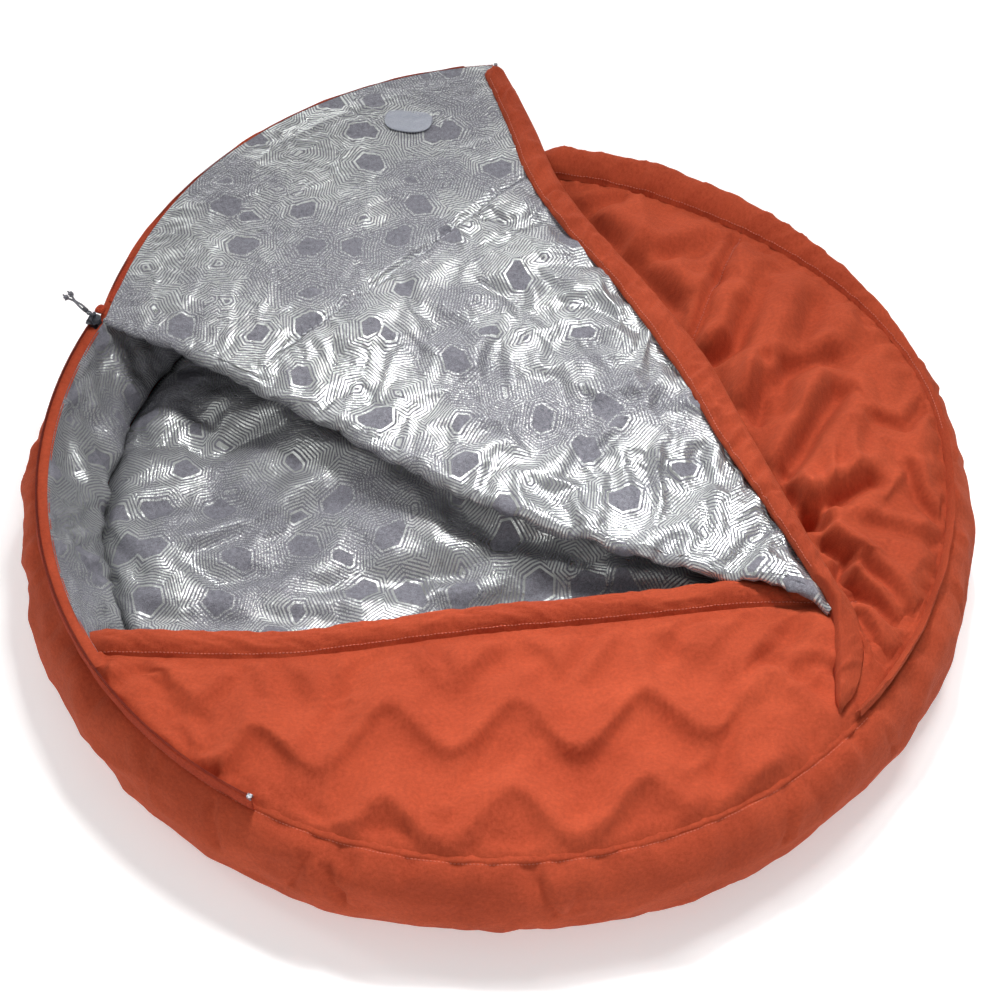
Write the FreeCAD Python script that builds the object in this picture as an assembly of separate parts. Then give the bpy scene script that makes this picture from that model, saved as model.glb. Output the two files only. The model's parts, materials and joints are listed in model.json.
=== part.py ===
"""Round zip-open thermal burrow bed: a padded drum with a reflective lining, a fixed front cover,
a fixed rear cover and a zip-edged flap that folds back over the rear cover. Millimetres, +Z up, origin
on the floor at the centre of the bed, the mouth facing -Y. The flap is drawn zipped shut and then turned
half a turn about its fold axis, which leaves it folded back in the open rest position. The zip is one
circular arc. It is drawn flat and then tilted a little about the fold axis, so that it falls from the
fold towards its front end."""

import FreeCAD
import Part

import math
import os

V = FreeCAD.Vector
UP = V(0, 0, 1)

# ---- driving dimensions ----
OUTER_RADIUS = 468.0  # widest point of the padded side wall
SEAM_RADIUS = 444.0  # seam between side wall and covers
BASE_RADIUS = 440.0  # side wall where it meets the floor
FLOOR_RADIUS = 402.0  # padded floor inside the wall
COVER_RADIUS = 434.0  # edge of the padded covers
WALL_HEIGHT = 106.0
BULGE_HEIGHT = 50.0
CLOTH = 1.2  # shell and lining cloth
GAP = 0.3  # clearance between stacked layers
SEAM_GAP_DEG = 0.1  # clearance between two cloth panels that meet at a seam

FLOOR_HEIGHT = 38.0  # top of the padded floor
COVER_FILL = 9.0
FRONT_COVER_BOTTOM = 92.0
REAR_COVER_BOTTOM = 104.5
FLAP_REST_BOTTOM = 117.0  # underside of the folded-back flap beside its fold axis
LAYERED_THICKNESS = 2 * CLOTH + 2 * GAP + COVER_FILL
HEM_WIDTH = 30.0

FOLD_AXIS_HEIGHT = 127.0
FOLD_AXIS_DEG = -13.1  # heading of the fold axis from the sewn end of the zip
FOLD_AXIS_LENGTH = 658.0  # from the sewn end of the zip to the flap's hem
FOLD_TRAVEL_DEG = 179.0  # from folded back to zipped shut
FOLD_CORNER = (311.0, -204.0)  # right end of the folded edge of the covers
FLAP_SHUT_BOTTOM = 2 * FOLD_AXIS_HEIGHT - FLAP_REST_BOTTOM - LAYERED_THICKNESS

ZIP_RADIUS = 444.4  # between the two coils
ZIP_HEIGHT = FLAP_SHUT_BOTTOM + LAYERED_THICKNESS / 2  # before the tilt
ZIP_TILT_DEG = 1.5
ZIP_START_DEG = 159.2  # sewn end, where the slider parks when the bed is open
RIM_ZIP_END_DEG = 241.4
FLAP_ZIP_END_DEG = 239.6
TAPE_WIDTH = 13.0
TAPE_THICKNESS = 0.8
COIL_WIDTH = 2.4
COIL_HEIGHT = 2.4
COIL_GAP = 2.6  # left between the coils for the slider's post
FLAP_COIL_START_DEG = ZIP_START_DEG + 3.3
FLAP_TAPE_START_DEG = ZIP_START_DEG + 4.5

REAR_HEM_END_DEG = -43.0  # where the rear hem is sewn to the rim
FRONT_HEM_LEFT_DEG = 209.0
FRONT_HEM_RIGHT_DEG = -20.5
REAR_PANEL_SEAM = ((197.0, 144.0), (261.0, 304.0))  # two points on the seam between the rear shell panels
REAR_BAND_WIDTH = 26.0
WALL_SEAM_DEG = 26.0

SLIDER_LENGTH = 15.0
SLIDER_WIDTH = 13.0
SLIDER_PLATE = 1.3
SLIDER_CHANNEL = 5.0
BRIDGE_OPENING = 4.6
BRIDGE_BAR = 1.3
PULL_HEADING_DEG = 139.0  # the cord lies outwards over the rim at rest
PULL_RISE_DEG = 8.0
RING_RADIUS = 3.6
CORD_RADIUS = 1.2
CORD_LENGTH = 20.0


def polar(radius, degrees, z=0.0):
    angle = math.radians(degrees)
    return V(radius * math.cos(angle), radius * math.sin(angle), z)


FOLD_START = polar(ZIP_RADIUS, ZIP_START_DEG, FOLD_AXIS_HEIGHT)
FOLD_DIRECTION = polar(1.0, FOLD_AXIS_DEG)
FOLD_AXIS_FOOT = polar(ZIP_RADIUS, ZIP_START_DEG)
FOLD_AXIS_END = FOLD_AXIS_FOOT + FOLD_DIRECTION * FOLD_AXIS_LENGTH
FOLD_EDGE_END = V(FOLD_CORNER[0], FOLD_CORNER[1], 0)


# ---- shape helpers ----
def line(a, b):
    return Part.LineSegment(a, b).toShape()


def arc(points):
    return Part.Arc(*points).toShape()


def polygon_face(points):
    return Part.Face(Part.makePolygon(points + [points[0]]))


def plate(outline, bottom, thickness):
    """A flat layer over a plan outline drawn at height 0."""
    layer = outline.copy()
    layer.translate(V(0, 0, bottom))
    return layer.extrude(V(0, 0, thickness))


def spin(profile, start_deg=0.0, sweep_deg=360.0):
    """Turns an X-Z profile about the bed's axis."""
    turned = profile.revolve(V(0, 0, 0), UP, sweep_deg)
    turned.rotate(V(0, 0, 0), UP, start_deg)
    return turned


def profile(points):
    """A straight-sided profile from (radius, height) pairs."""
    return polygon_face([V(r, 0, z) for r, z in points])


def box_profile(r0, r1, z0, z1):
    return profile([(r0, z0), (r1, z0), (r1, z1), (r0, z1)])


def bowed_profile(outer, inner):
    """The area between two three-point arcs, each given from bottom to top as (radius, height) pairs."""
    a = [V(r, 0, z) for r, z in outer]
    b = [V(r, 0, z) for r, z in inner]
    edges = [arc(a), line(a[2], b[2]), arc(b), line(b[0], a[0])]
    return Part.Face(Part.Wire(Part.__sortEdges__(edges)))


def disc(radius):
    return Part.Face(Part.Wire(Part.makeCircle(radius)))


def left_of(a, b, shift=0.0, reach=1500.0):
    """The plan area to the left of the line from a to b, moved further left by shift."""
    along = V(b.x - a.x, b.y - a.y, 0).normalize()
    left = V(-along.y, along.x, 0)
    p = a - along * reach + left * shift
    q = b + along * reach + left * shift
    return polygon_face([p, q, q + left * reach, p + left * reach])


def about_fold(shape, degrees):
    turned = shape.copy()
    turned.rotate(FOLD_START, FOLD_DIRECTION, degrees)
    return turned


def tilted(shape):
    """Lowers the front of anything drawn flat in the plane of the zip."""
    return about_fold(shape, ZIP_TILT_DEG)


def folded_back(shape):
    """Turns a flap piece from its zipped place to the open rest place."""
    return about_fold(shape, -FOLD_TRAVEL_DEG)


def stack(names, outline, bottom):
    """Lining, fill and shell layers laid over one outline."""
    made = {}
    z = bottom
    for name, thickness in zip(names, (CLOTH, COVER_FILL, CLOTH)):
        made[name] = plate(outline, z, thickness)
        z += thickness + GAP
    return made


# ---- side wall and floor ----
def side_wall():
    def outer_line(inset):
        return [
            (BASE_RADIUS - inset, 0.0),
            (OUTER_RADIUS - inset, BULGE_HEIGHT),
            (SEAM_RADIUS - inset, WALL_HEIGHT),
        ]

    def inner_line(inset):
        return [
            (FLOOR_RADIUS + GAP + inset, CLOTH + GAP),
            (FLOOR_RADIUS + 10.0 + inset, 58.0),
            (SEAM_RADIUS - 16.0 + inset, WALL_HEIGHT - 2.0),
        ]

    shell = bowed_profile(outer_line(0.0), outer_line(CLOTH))
    fill = spin(bowed_profile(outer_line(CLOTH + GAP), inner_line(CLOTH + GAP)))
    fill = fill.cut(plate(disc(OUTER_RADIUS), -1.0, 1.0 + CLOTH + GAP))
    lining = spin(bowed_profile(inner_line(CLOTH), inner_line(0.0)))
    covers_zone = plate(disc(COVER_RADIUS + 1.0), FRONT_COVER_BOTTOM - GAP, 100.0)
    return {
        "wall_shell_rear": spin(shell, WALL_SEAM_DEG, 180.0 - SEAM_GAP_DEG),
        "wall_shell_front": spin(shell, WALL_SEAM_DEG + 180.0, 180.0 - SEAM_GAP_DEG),
        "wall_fill": fill.cut(covers_zone),
        "wall_lining": lining.cut(covers_zone),
    }


def floor_pad():
    fill_height = FLOOR_HEIGHT - 2 * CLOTH - 2 * GAP
    return {
        "bottom_shell": plate(disc(BASE_RADIUS - CLOTH - GAP), 0.0, CLOTH),
        "floor_fill": plate(disc(FLOOR_RADIUS), CLOTH + GAP, fill_height),
        "floor_lining": plate(disc(FLOOR_RADIUS), FLOOR_HEIGHT - CLOTH, CLOTH),
    }


# ---- covers ----
def front_cover():
    """The fixed lower cover: a segment of the disc with a bound hem along its chord."""
    left = polar(COVER_RADIUS, FRONT_HEM_LEFT_DEG)
    right = polar(COVER_RADIUS, FRONT_HEM_RIGHT_DEG)
    segment = disc(COVER_RADIUS).cut(left_of(left, right))
    panel = segment.cut(left_of(left, right, -HEM_WIDTH - GAP))
    made = stack(("front_cover_lining", "front_cover_fill", "front_cover_shell"), panel, FRONT_COVER_BOTTOM)
    hem = segment.common(left_of(left, right, -HEM_WIDTH))
    made["front_hem"] = plate(hem, FRONT_COVER_BOTTOM, LAYERED_THICKNESS)
    return made


def rear_region(radius):
    """Plan of the fixed rear cover: behind the folded edge and right of the short sewn end of the hem."""
    hem_end = polar(SEAM_RADIUS + 30.0, REAR_HEM_END_DEG)
    beyond_start = FOLD_AXIS_FOOT + (FOLD_AXIS_FOOT - FOLD_EDGE_END).normalize() * 300.0
    around_front = [V(300, -900, 0), V(-900, -900, 0), V(-900, 300, 0)]
    mouth = polygon_face([beyond_start, FOLD_EDGE_END, hem_end] + around_front)
    return disc(radius).cut(mouth)


def rear_cover():
    """The fixed upper cover with two shell panels, its edge band and the sewn end of the mouth hem."""
    corner = FOLD_EDGE_END
    hem_end = polar(SEAM_RADIUS + 30.0, REAR_HEM_END_DEG)
    region = rear_region(COVER_RADIUS - REAR_BAND_WIDTH)
    below_corner = polygon_face([
        V(corner.x - 100, corner.y, 0),
        V(corner.x - 100, corner.y - 300, 0),
        V(corner.x + 300, corner.y - 300, 0),
        V(corner.x + 300, corner.y, 0),
    ])
    hem_strip = below_corner.cut(left_of(corner, hem_end, HEM_WIDTH))
    wide_strip = below_corner.cut(left_of(corner, hem_end, HEM_WIDTH + GAP))
    wide_strip.translate(V(0, GAP, 0))
    hem = region.common(hem_strip)
    panel = region.cut(wide_strip)
    made = stack(("rear_cover_lining", "rear_cover_fill", "rear_cover_shell"), panel, REAR_COVER_BOTTOM)
    made["rear_hem"] = plate(hem, REAR_COVER_BOTTOM, LAYERED_THICKNESS)
    shell = made.pop("rear_cover_shell")
    a, b = (V(x, y, 0) for x, y in REAR_PANEL_SEAM)
    made["rear_shell_left"] = shell.common(plate(left_of(a, b, GAP / 2), 0.0, 200.0))
    made["rear_shell_right"] = shell.cut(plate(left_of(a, b, -GAP / 2), 0.0, 200.0))
    return made


def fold_lip():
    """The doubled-back lip of the rear cover, from the folded edge to the flap's fold axis, lining up."""
    clear = polar(GAP, FOLD_AXIS_DEG - 90.0)
    start = FOLD_AXIS_FOOT + (FOLD_EDGE_END - FOLD_AXIS_FOOT).normalize() * 40.0
    axis_start = FOLD_AXIS_FOOT + FOLD_DIRECTION * 40.0
    triangle = polygon_face([start, FOLD_EDGE_END, FOLD_AXIS_END + clear, axis_start + clear])
    hem_strip = left_of(FOLD_EDGE_END, FOLD_AXIS_END).cut(left_of(FOLD_EDGE_END, FOLD_AXIS_END, HEM_WIDTH))
    panel = triangle.common(left_of(FOLD_EDGE_END, FOLD_AXIS_END, HEM_WIDTH + GAP))
    return {
        "fold_lip_shell": plate(panel, FLAP_REST_BOTTOM, CLOTH),
        "fold_lip_lining": plate(panel, FLAP_REST_BOTTOM + CLOTH + GAP, CLOTH),
        "fold_lip_hem": plate(triangle.common(hem_strip), FLAP_REST_BOTTOM, 2 * CLOTH + GAP),
    }


def rim_bands():
    """The sewn edges that join the covers to the side wall."""
    top = REAR_COVER_BOTTOM + LAYERED_THICKNESS
    inner = COVER_RADIUS - REAR_BAND_WIDTH + GAP
    rear = profile([
        (inner, REAR_COVER_BOTTOM),
        (inner, top),
        (COVER_RADIUS - 6.0, top),
        (SEAM_RADIUS + 0.5, WALL_HEIGHT + 1.5),
        (SEAM_RADIUS + 0.5, WALL_HEIGHT + GAP),
        (COVER_RADIUS + 2.0, WALL_HEIGHT + GAP),
        (COVER_RADIUS + 0.5, REAR_COVER_BOTTOM),
    ])
    front = box_profile(COVER_RADIUS + GAP, SEAM_RADIUS + 0.5, WALL_HEIGHT + GAP, WALL_HEIGHT + 3.0)
    rear_start = REAR_HEM_END_DEG + 0.5
    front_start = RIM_ZIP_END_DEG + 1.2
    return {
        "rear_rim_band": spin(rear, rear_start, ZIP_START_DEG - 3.5 - rear_start),
        "front_rim_binding": spin(front, front_start, 360.0 + REAR_HEM_END_DEG - front_start),
    }


def flap():
    """The flap in its zipped place: shell, fill, lining, hem and a blank care patch on the lining."""
    zip_edge = ZIP_RADIUS - COIL_GAP / 2 - COIL_WIDTH - TAPE_WIDTH
    free_corner = polar(zip_edge, FLAP_ZIP_END_DEG)
    region = disc(zip_edge).cut(left_of(FOLD_AXIS_FOOT, FOLD_AXIS_END, -1.0))
    region = region.common(left_of(free_corner, FOLD_AXIS_END))
    panel = region.common(left_of(free_corner, FOLD_AXIS_END, HEM_WIDTH + GAP))
    made = stack(("flap_lining", "flap_fill", "flap_shell"), panel, FLAP_SHUT_BOTTOM)
    hem = region.cut(left_of(free_corner, FOLD_AXIS_END, HEM_WIDTH))
    made["flap_hem"] = plate(hem, FLAP_SHUT_BOTTOM, LAYERED_THICKNESS)
    patch = Part.Face(Part.Wire(Part.Ellipse(V(0, 0, 0), 32.0, 16.0).toShape()))
    patch.rotate(V(0, 0, 0), UP, FLAP_ZIP_END_DEG)
    patch.translate(polar(372.0, FLAP_ZIP_END_DEG - 11.0))
    made["care_patch"] = plate(patch, FLAP_SHUT_BOTTOM - 0.4, 0.3)
    return {name: folded_back(tilted(shape)) for name, shape in made.items()}


# ---- zip ----
def zip_profiles():
    """Coil and tape sections of both halves as (radius, height) profiles."""
    low = ZIP_HEIGHT - COIL_HEIGHT / 2
    high = ZIP_HEIGHT + COIL_HEIGHT / 2
    tape_low = ZIP_HEIGHT - TAPE_THICKNESS / 2
    tape_high = ZIP_HEIGHT + TAPE_THICKNESS / 2
    rim_in = ZIP_RADIUS + COIL_GAP / 2
    rim_out = rim_in + COIL_WIDTH
    flap_out = ZIP_RADIUS - COIL_GAP / 2
    flap_in = flap_out - COIL_WIDTH
    turn = rim_out + 4.0
    foot = SEAM_RADIUS + 1.0
    return {
        "rim_coil": box_profile(rim_in, rim_out, low, high),
        "rim_tape": profile([
            (rim_out + 0.1, tape_low),
            (turn - 0.5, tape_low),
            (foot - TAPE_THICKNESS, WALL_HEIGHT - 10.0),
            (foot, WALL_HEIGHT - 10.0),
            (turn + 0.5, tape_high),
            (rim_out + 0.1, tape_high),
        ]),
        "rim_stop": box_profile(rim_in - 0.6, rim_out + 1.0, low - 0.8, high + 0.8),
        "flap_coil": box_profile(flap_in, flap_out, low, high),
        "flap_tape": box_profile(flap_in - TAPE_WIDTH + GAP, flap_in - 0.1, tape_low, tape_high),
        "flap_stop": box_profile(flap_in - 1.0, flap_out, low - 0.8, high + 0.8),
        "end_tab": box_profile(ZIP_RADIUS - 1.5, rim_out + 3.0, low - 1.5, high + 1.5),
    }


def zip_halves():
    section = zip_profiles()
    rim_start = ZIP_START_DEG - 1.2
    rim_sweep = RIM_ZIP_END_DEG - rim_start
    rim = {
        "rim_zip_coil": spin(section["rim_coil"], rim_start, rim_sweep),
        "rim_zip_tape": spin(section["rim_tape"], rim_start, rim_sweep),
        "rim_zip_stop": spin(section["rim_stop"], RIM_ZIP_END_DEG + 0.1, 0.6),
        "zip_end_tab": spin(section["end_tab"], ZIP_START_DEG - 3.0, 1.6),
    }
    coil_sweep = FLAP_ZIP_END_DEG - FLAP_COIL_START_DEG
    tape_sweep = FLAP_ZIP_END_DEG - FLAP_TAPE_START_DEG
    on_flap = {
        "flap_zip_coil": spin(section["flap_coil"], FLAP_COIL_START_DEG, coil_sweep),
        "flap_zip_tape": spin(section["flap_tape"], FLAP_TAPE_START_DEG, tape_sweep),
        "flap_zip_stop": spin(section["flap_stop"], FLAP_ZIP_END_DEG + 0.1, 0.5),
    }
    made = {name: tilted(shape) for name, shape in rim.items()}
    made["rim_zip_tape"] = made["rim_zip_tape"].cut(plate(disc(OUTER_RADIUS), 0.0, WALL_HEIGHT + GAP))
    made.update({name: folded_back(tilted(shape)) for name, shape in on_flap.items()})
    return made


# ---- slider and pull ----
def on_zip(shape):
    """From the slider's own axes (X outwards, Y along the zip) to its parked place."""
    placed = shape.copy()
    placed.rotate(V(0, 0, 0), UP, ZIP_START_DEG)
    placed.translate(polar(ZIP_RADIUS, ZIP_START_DEG, ZIP_HEIGHT))
    return tilted(placed)


def slider():
    """Two plates joined by a post between the coils, and the bridge that holds the pull's ring."""
    half_width = SLIDER_WIDTH / 2
    half_length = SLIDER_LENGTH / 2
    half_channel = SLIDER_CHANNEL / 2
    outline = polygon_face([
        V(-half_width, -half_length + 3, 0),
        V(-half_width + 3, -half_length, 0),
        V(half_width - 3, -half_length, 0),
        V(half_width, -half_length + 3, 0),
        V(half_width - 1.5, half_length, 0),
        V(-half_width + 1.5, half_length, 0),
    ])
    lower = plate(outline, -half_channel - SLIDER_PLATE, SLIDER_PLATE)
    upper = plate(outline, half_channel, SLIDER_PLATE)
    post = Part.makeBox(1.8, 5.0, SLIDER_CHANNEL + 0.2, V(-0.9, -6.5, -half_channel - 0.1))
    lips = [
        Part.makeBox(1.1, 8.0, 1.1, V(x, -4.0, z))
        for x in (-half_width, half_width - 1.1)
        for z in (-half_channel - 0.1, half_channel - 1.0)
    ]
    roof = half_channel + SLIDER_PLATE
    bridge = Part.makeBox(2.4, 10.0, BRIDGE_OPENING + BRIDGE_BAR, V(-1.2, -5.0, roof))
    opening = Part.makeBox(3.0, 7.4, BRIDGE_OPENING, V(-1.5, -3.7, roof))
    return {
        "slider_body": on_zip(lower.fuse([upper, post] + lips).removeSplitter()),
        "slider_bridge": on_zip(bridge.cut(opening)),
    }


def pull():
    """Wire ring round the bridge bar, cord loop, moulded sleeve, two cord strands and their end knots."""
    ring = Part.makeTorus(RING_RADIUS, 0.7, V(1.4, 0, 0), V(0, 1, 0))
    eye_x = 1.4 + RING_RADIUS
    eye = Part.makeTorus(1.9, 0.85, V(eye_x, 0, 0), UP)
    sleeve_x = eye_x + 1.9 + 0.85 + 0.3
    sleeve = Part.makeCylinder(2.7, 5.0, V(sleeve_x, 0, 0), V(1, 0, 0))
    cord_x = sleeve_x + 5.0 + GAP
    outwards = V(1, 0, 0)
    strands = [Part.makeCylinder(CORD_RADIUS, CORD_LENGTH, V(cord_x, y, 0), outwards) for y in (-1.5, 1.5)]
    knot_x = cord_x + CORD_LENGTH + 2.6 + GAP
    knots = [Part.makeSphere(2.6, V(knot_x, y, 0)) for y in (-2.8, 2.8)]
    made = {
        "pull_ring": ring,
        "pull_eye": eye,
        "pull_sleeve": sleeve,
        "pull_cord": Part.makeCompound(strands),
        "pull_knots": Part.makeCompound(knots),
    }
    bar_height = ZIP_HEIGHT + SLIDER_CHANNEL / 2 + SLIDER_PLATE + BRIDGE_OPENING + BRIDGE_BAR / 2
    for shape in made.values():
        shape.rotate(V(0, 0, 0), V(0, 1, 0), -PULL_RISE_DEG)
        shape.rotate(V(0, 0, 0), UP, PULL_HEADING_DEG)
        shape.translate(polar(ZIP_RADIUS, ZIP_START_DEG, bar_height))
    return {name: tilted(shape) for name, shape in made.items()}


def build():
    parts = {}
    covers = (front_cover, rear_cover, fold_lip, rim_bands, flap)
    for maker in (side_wall, floor_pad, *covers, zip_halves, slider, pull):
        parts.update(maker())
    return parts


if __name__ == "__main__":
    os.makedirs("parts", exist_ok=True)
    for name, shape in build().items():
        Part.makeCompound(shape.Solids).exportStep(f"parts/{name}.step")
        box = shape.BoundBox
        print(name, len(shape.Solids), round(shape.Volume / 1000.0, 2), "cm3", shape.isValid(),
              [round(v, 1) for v in (box.XMin, box.XMax, box.YMin, box.YMax, box.ZMin, box.ZMax)])
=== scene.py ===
import json
import math

import bpy
import numpy as np
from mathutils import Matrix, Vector
from mathutils.bvhtree import BVHTree


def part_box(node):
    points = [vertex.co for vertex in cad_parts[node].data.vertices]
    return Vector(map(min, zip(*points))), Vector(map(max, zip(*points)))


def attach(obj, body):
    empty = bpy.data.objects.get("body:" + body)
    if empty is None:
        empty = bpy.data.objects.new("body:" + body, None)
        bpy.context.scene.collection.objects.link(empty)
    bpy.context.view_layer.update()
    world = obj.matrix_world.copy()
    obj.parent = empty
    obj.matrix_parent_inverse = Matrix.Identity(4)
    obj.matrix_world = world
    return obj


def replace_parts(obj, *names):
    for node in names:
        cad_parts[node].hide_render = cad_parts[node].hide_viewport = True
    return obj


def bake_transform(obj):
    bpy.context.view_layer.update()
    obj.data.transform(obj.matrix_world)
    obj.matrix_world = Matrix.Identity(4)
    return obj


# A round, zip-open thermal burrow bed. Shapes are worked out in millimetres and written to meshes in metres.
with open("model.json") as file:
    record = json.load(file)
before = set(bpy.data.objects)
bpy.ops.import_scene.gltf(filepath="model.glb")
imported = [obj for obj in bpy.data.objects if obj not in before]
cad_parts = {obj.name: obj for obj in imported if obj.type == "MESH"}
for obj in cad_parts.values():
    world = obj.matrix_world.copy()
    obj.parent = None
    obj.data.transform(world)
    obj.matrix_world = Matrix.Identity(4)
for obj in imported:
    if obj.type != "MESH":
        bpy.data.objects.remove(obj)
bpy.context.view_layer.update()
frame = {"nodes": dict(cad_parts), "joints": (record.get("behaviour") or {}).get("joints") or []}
MM = 0.001


# ---- places taken from the frame ----
def low(node):
    return np.array(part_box(node)[0]) / MM


def high(node):
    return np.array(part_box(node)[1]) / MM


def joint(name):
    """A joint's place in millimetres and its unit axis."""
    found = next(j for j in frame["joints"] if j["name"] == name)
    place = np.array(found["pos_m"], float) / MM
    axis = np.array(found["axis"], float)
    return place, axis / np.linalg.norm(axis)


def heading(point):
    return math.degrees(math.atan2(point[1], point[0]))


WALL_RADIUS = -low("wall_shell_front")[1]
WALL_TOP = high("wall_shell_front")[2]
BASE_RADIUS = high("bottom_shell")[0]
FLOOR_RADIUS = high("floor_lining")[0]
FLOOR_TOP = high("floor_lining")[2]
COVER_RADIUS = -low("front_cover_fill")[1]
SEAM_RADIUS = high("rear_rim_band")[0]
BAND_INNER = high("rear_cover_fill")[0]
BAND_TOP = high("rear_rim_band")[2]
BAND_START_DEG = math.degrees(math.asin(low("rear_rim_band")[1] / SEAM_RADIUS))
FRONT_TOP = high("front_cover_shell")[2]
FRONT_LOW = low("front_cover_lining")[2]
REAR_TOP = high("rear_shell_right")[2]
REAR_LOW = low("rear_cover_lining")[2]
FLAP_LOW = low("flap_shell")[2]

FOLD_START, FOLD_AXIS = joint("flap_fold")
FOLD_SIDE = np.array([-FOLD_AXIS[1], FOLD_AXIS[0], 0.0])  # points behind the fold axis
FOLD_END = np.array([high("fold_lip_hem")[0], low("fold_lip_hem")[1], FOLD_START[2]])
AXIS_LENGTH = (high("flap_hem")[0] - FOLD_START[0]) / FOLD_AXIS[0]
AXIS_END = FOLD_START + FOLD_AXIS * AXIS_LENGTH
FLAP_CORNER = np.array([low("flap_zip_stop")[0] + 3.0, high("flap_hem")[1], high("flap_hem")[2]])
HEM_LEFT = np.array([low("front_hem")[0], 0.0, 0.0])
HEM_LEFT[1] = -math.sqrt(COVER_RADIUS ** 2 - HEM_LEFT[0] ** 2)
HEM_RIGHT = np.array([high("front_hem")[0], high("front_hem")[1], 0.0])
HEM_WIDTH = 30.0
ZIP_CENTRE, ZIP_AXIS = joint("slider_travel")
ZIP_START_DEG = heading(FOLD_START)
ZIP_END_DEG = heading((low("rim_zip_stop") + high("rim_zip_stop")) / 2) % 360.0
ZIP_SWEEP_DEG = ZIP_END_DEG - ZIP_START_DEG
HEM_LEFT_DEG = heading(HEM_LEFT) % 360.0
PLEAT_END = np.array([SEAM_RADIUS * math.cos(math.radians(BAND_START_DEG)),
                      SEAM_RADIUS * math.sin(math.radians(BAND_START_DEG)), WALL_TOP]) * np.array([0.965, 0.99, 1.0])

# ---- measures of the finished cloth ----
CELL = 5.0  # size of one cloth cell
BULGE_HEIGHT = 50.0
BULGE_PROUD = 3.5  # how far the stuffed wall stands past the CAD wall
FRONT_SEAM_DIP = 8.0
ROLL_RADIUS = 10.5  # rounded edge where the cover folds back
SIDE_PUFF = 11.0
STITCH_PITCH = 3.4
STITCH_RADIUS = 0.55


# ---- numbers ----
def smooth(a, b, x):
    t = np.clip((np.asarray(x, float) - a) / (b - a), 0.0, 1.0)
    return t * t * (3.0 - 2.0 * t)


def bump_at(x, centre, width):
    return np.exp(-((np.asarray(x, float) - centre) / width) ** 2)


def polar(radius, degrees, z=0.0):
    angle = np.radians(degrees)
    return np.stack(np.broadcast_arrays(radius * np.cos(angle), radius * np.sin(angle), z), -1)


def unit(vectors):
    vectors = np.asarray(vectors, float)
    return vectors / np.maximum(np.linalg.norm(vectors, axis=-1, keepdims=True), 1e-9)


def gradient_noise(x, y, seed):
    """Smooth noise of unit cell size, the same on every run."""
    x0 = np.floor(x).astype(np.int64)
    y0 = np.floor(y).astype(np.int64)
    fx = x - x0
    fy = y - y0

    def corner(dx, dy):
        h = ((x0 + dx) * 374761393 + (y0 + dy) * 668265263 + seed * 974634777) & 0xFFFFFFFF
        h = ((h ^ (h >> 13)) * 1274126177) & 0xFFFFFFFF
        angle = ((h ^ (h >> 16)) & 0xFFFF) / 65536.0 * 2.0 * np.pi
        return np.cos(angle) * (fx - dx) + np.sin(angle) * (fy - dy)

    u = fx * fx * fx * (fx * (fx * 6 - 15) + 10)
    v = fy * fy * fy * (fy * (fy * 6 - 15) + 10)
    bottom = corner(0, 0) * (1 - u) + corner(1, 0) * u
    top = corner(0, 1) * (1 - u) + corner(1, 1) * u
    return (bottom * (1 - v) + top * v) * 1.5


def ripples(x, y, size, seed, octaves=3):
    total = 0.0
    for k in range(octaves):
        total = total + gradient_noise(x / size * 2 ** k, y / size * 2 ** k, seed + k) * 0.55 ** k
    return total


def wrinkles(x, y, size, seed, turn_deg=0.0, stretch=1.0):
    """Sharp-crested noise, drawn out along one heading: 1 on a crest, 0 in the flats."""
    angle = math.radians(turn_deg)
    along = (x * math.cos(angle) + y * math.sin(angle)) / stretch
    across = -x * math.sin(angle) + y * math.cos(angle)
    warp = 0.35 * size * gradient_noise(x / size / 1.7, y / size / 1.7, seed + 17)
    return 1.0 - np.minimum(1.0, np.abs(ripples(along + warp, across + warp, size, seed, 2)) * 2.6)


def crease(x, y, points, depth, width, shoulder=0.6):
    """A valley along a line of points, with a raised shoulder on its left."""
    best = np.full(np.shape(x), 1e9)
    signed = np.full(np.shape(x), 1e9)
    past_end = np.zeros(np.shape(x))
    last = len(points) - 2
    for k, ((x0, y0), (x1, y1)) in enumerate(zip(points, points[1:])):
        dx = x1 - x0
        dy = y1 - y0
        length = math.hypot(dx, dy)
        along = ((x - x0) * dx + (y - y0) * dy) / length
        t = np.clip(along / length, 0.0, 1.0)
        away = np.hypot(x - x0 - t * dx, y - y0 - t * dy)
        past = np.maximum(-along if k == 0 else 0.0, along - length if k == last else 0.0)
        nearer = away < best
        best = np.where(nearer, away, best)
        signed = np.where(nearer, (dx * (y - y0) - dy * (x - x0)) / length, signed)
        past_end = np.where(nearer, np.maximum(past, 0.0), past_end)
    valley = -depth * np.exp(-(best / width) ** 2)
    rise = shoulder * depth * np.exp(-((signed - 1.7 * width) / width) ** 2 - (best / (3.0 * width)) ** 2)
    return valley + rise * np.exp(-(past_end / width) ** 2)


def creases(x, y, lines):
    return sum(crease(x, y, points, depth, width) for points, depth, width in lines)


def through(points, count, smoothing=3):
    """A smooth curve through the points, evenly spaced."""
    p = np.asarray(points, float)
    for _ in range(smoothing):
        inner = np.empty((len(p) * 2 - 1, p.shape[1]))
        inner[0::2] = p
        inner[1::2] = (p[:-1] + p[1:]) / 2
        if len(p) > 2:
            bend = np.zeros_like(p)
            bend[1:-1] = p[1:-1] - (p[:-2] + p[2:]) / 2
            inner[1::2] += (bend[:-1] + bend[1:]) / 8
        p = inner
    steps = np.concatenate([[0.0], np.cumsum(np.linalg.norm(np.diff(p, axis=0), axis=1))])
    at = np.linspace(0.0, steps[-1], count)
    return np.stack([np.interp(at, steps, p[:, k]) for k in range(p.shape[1])], -1)


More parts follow.
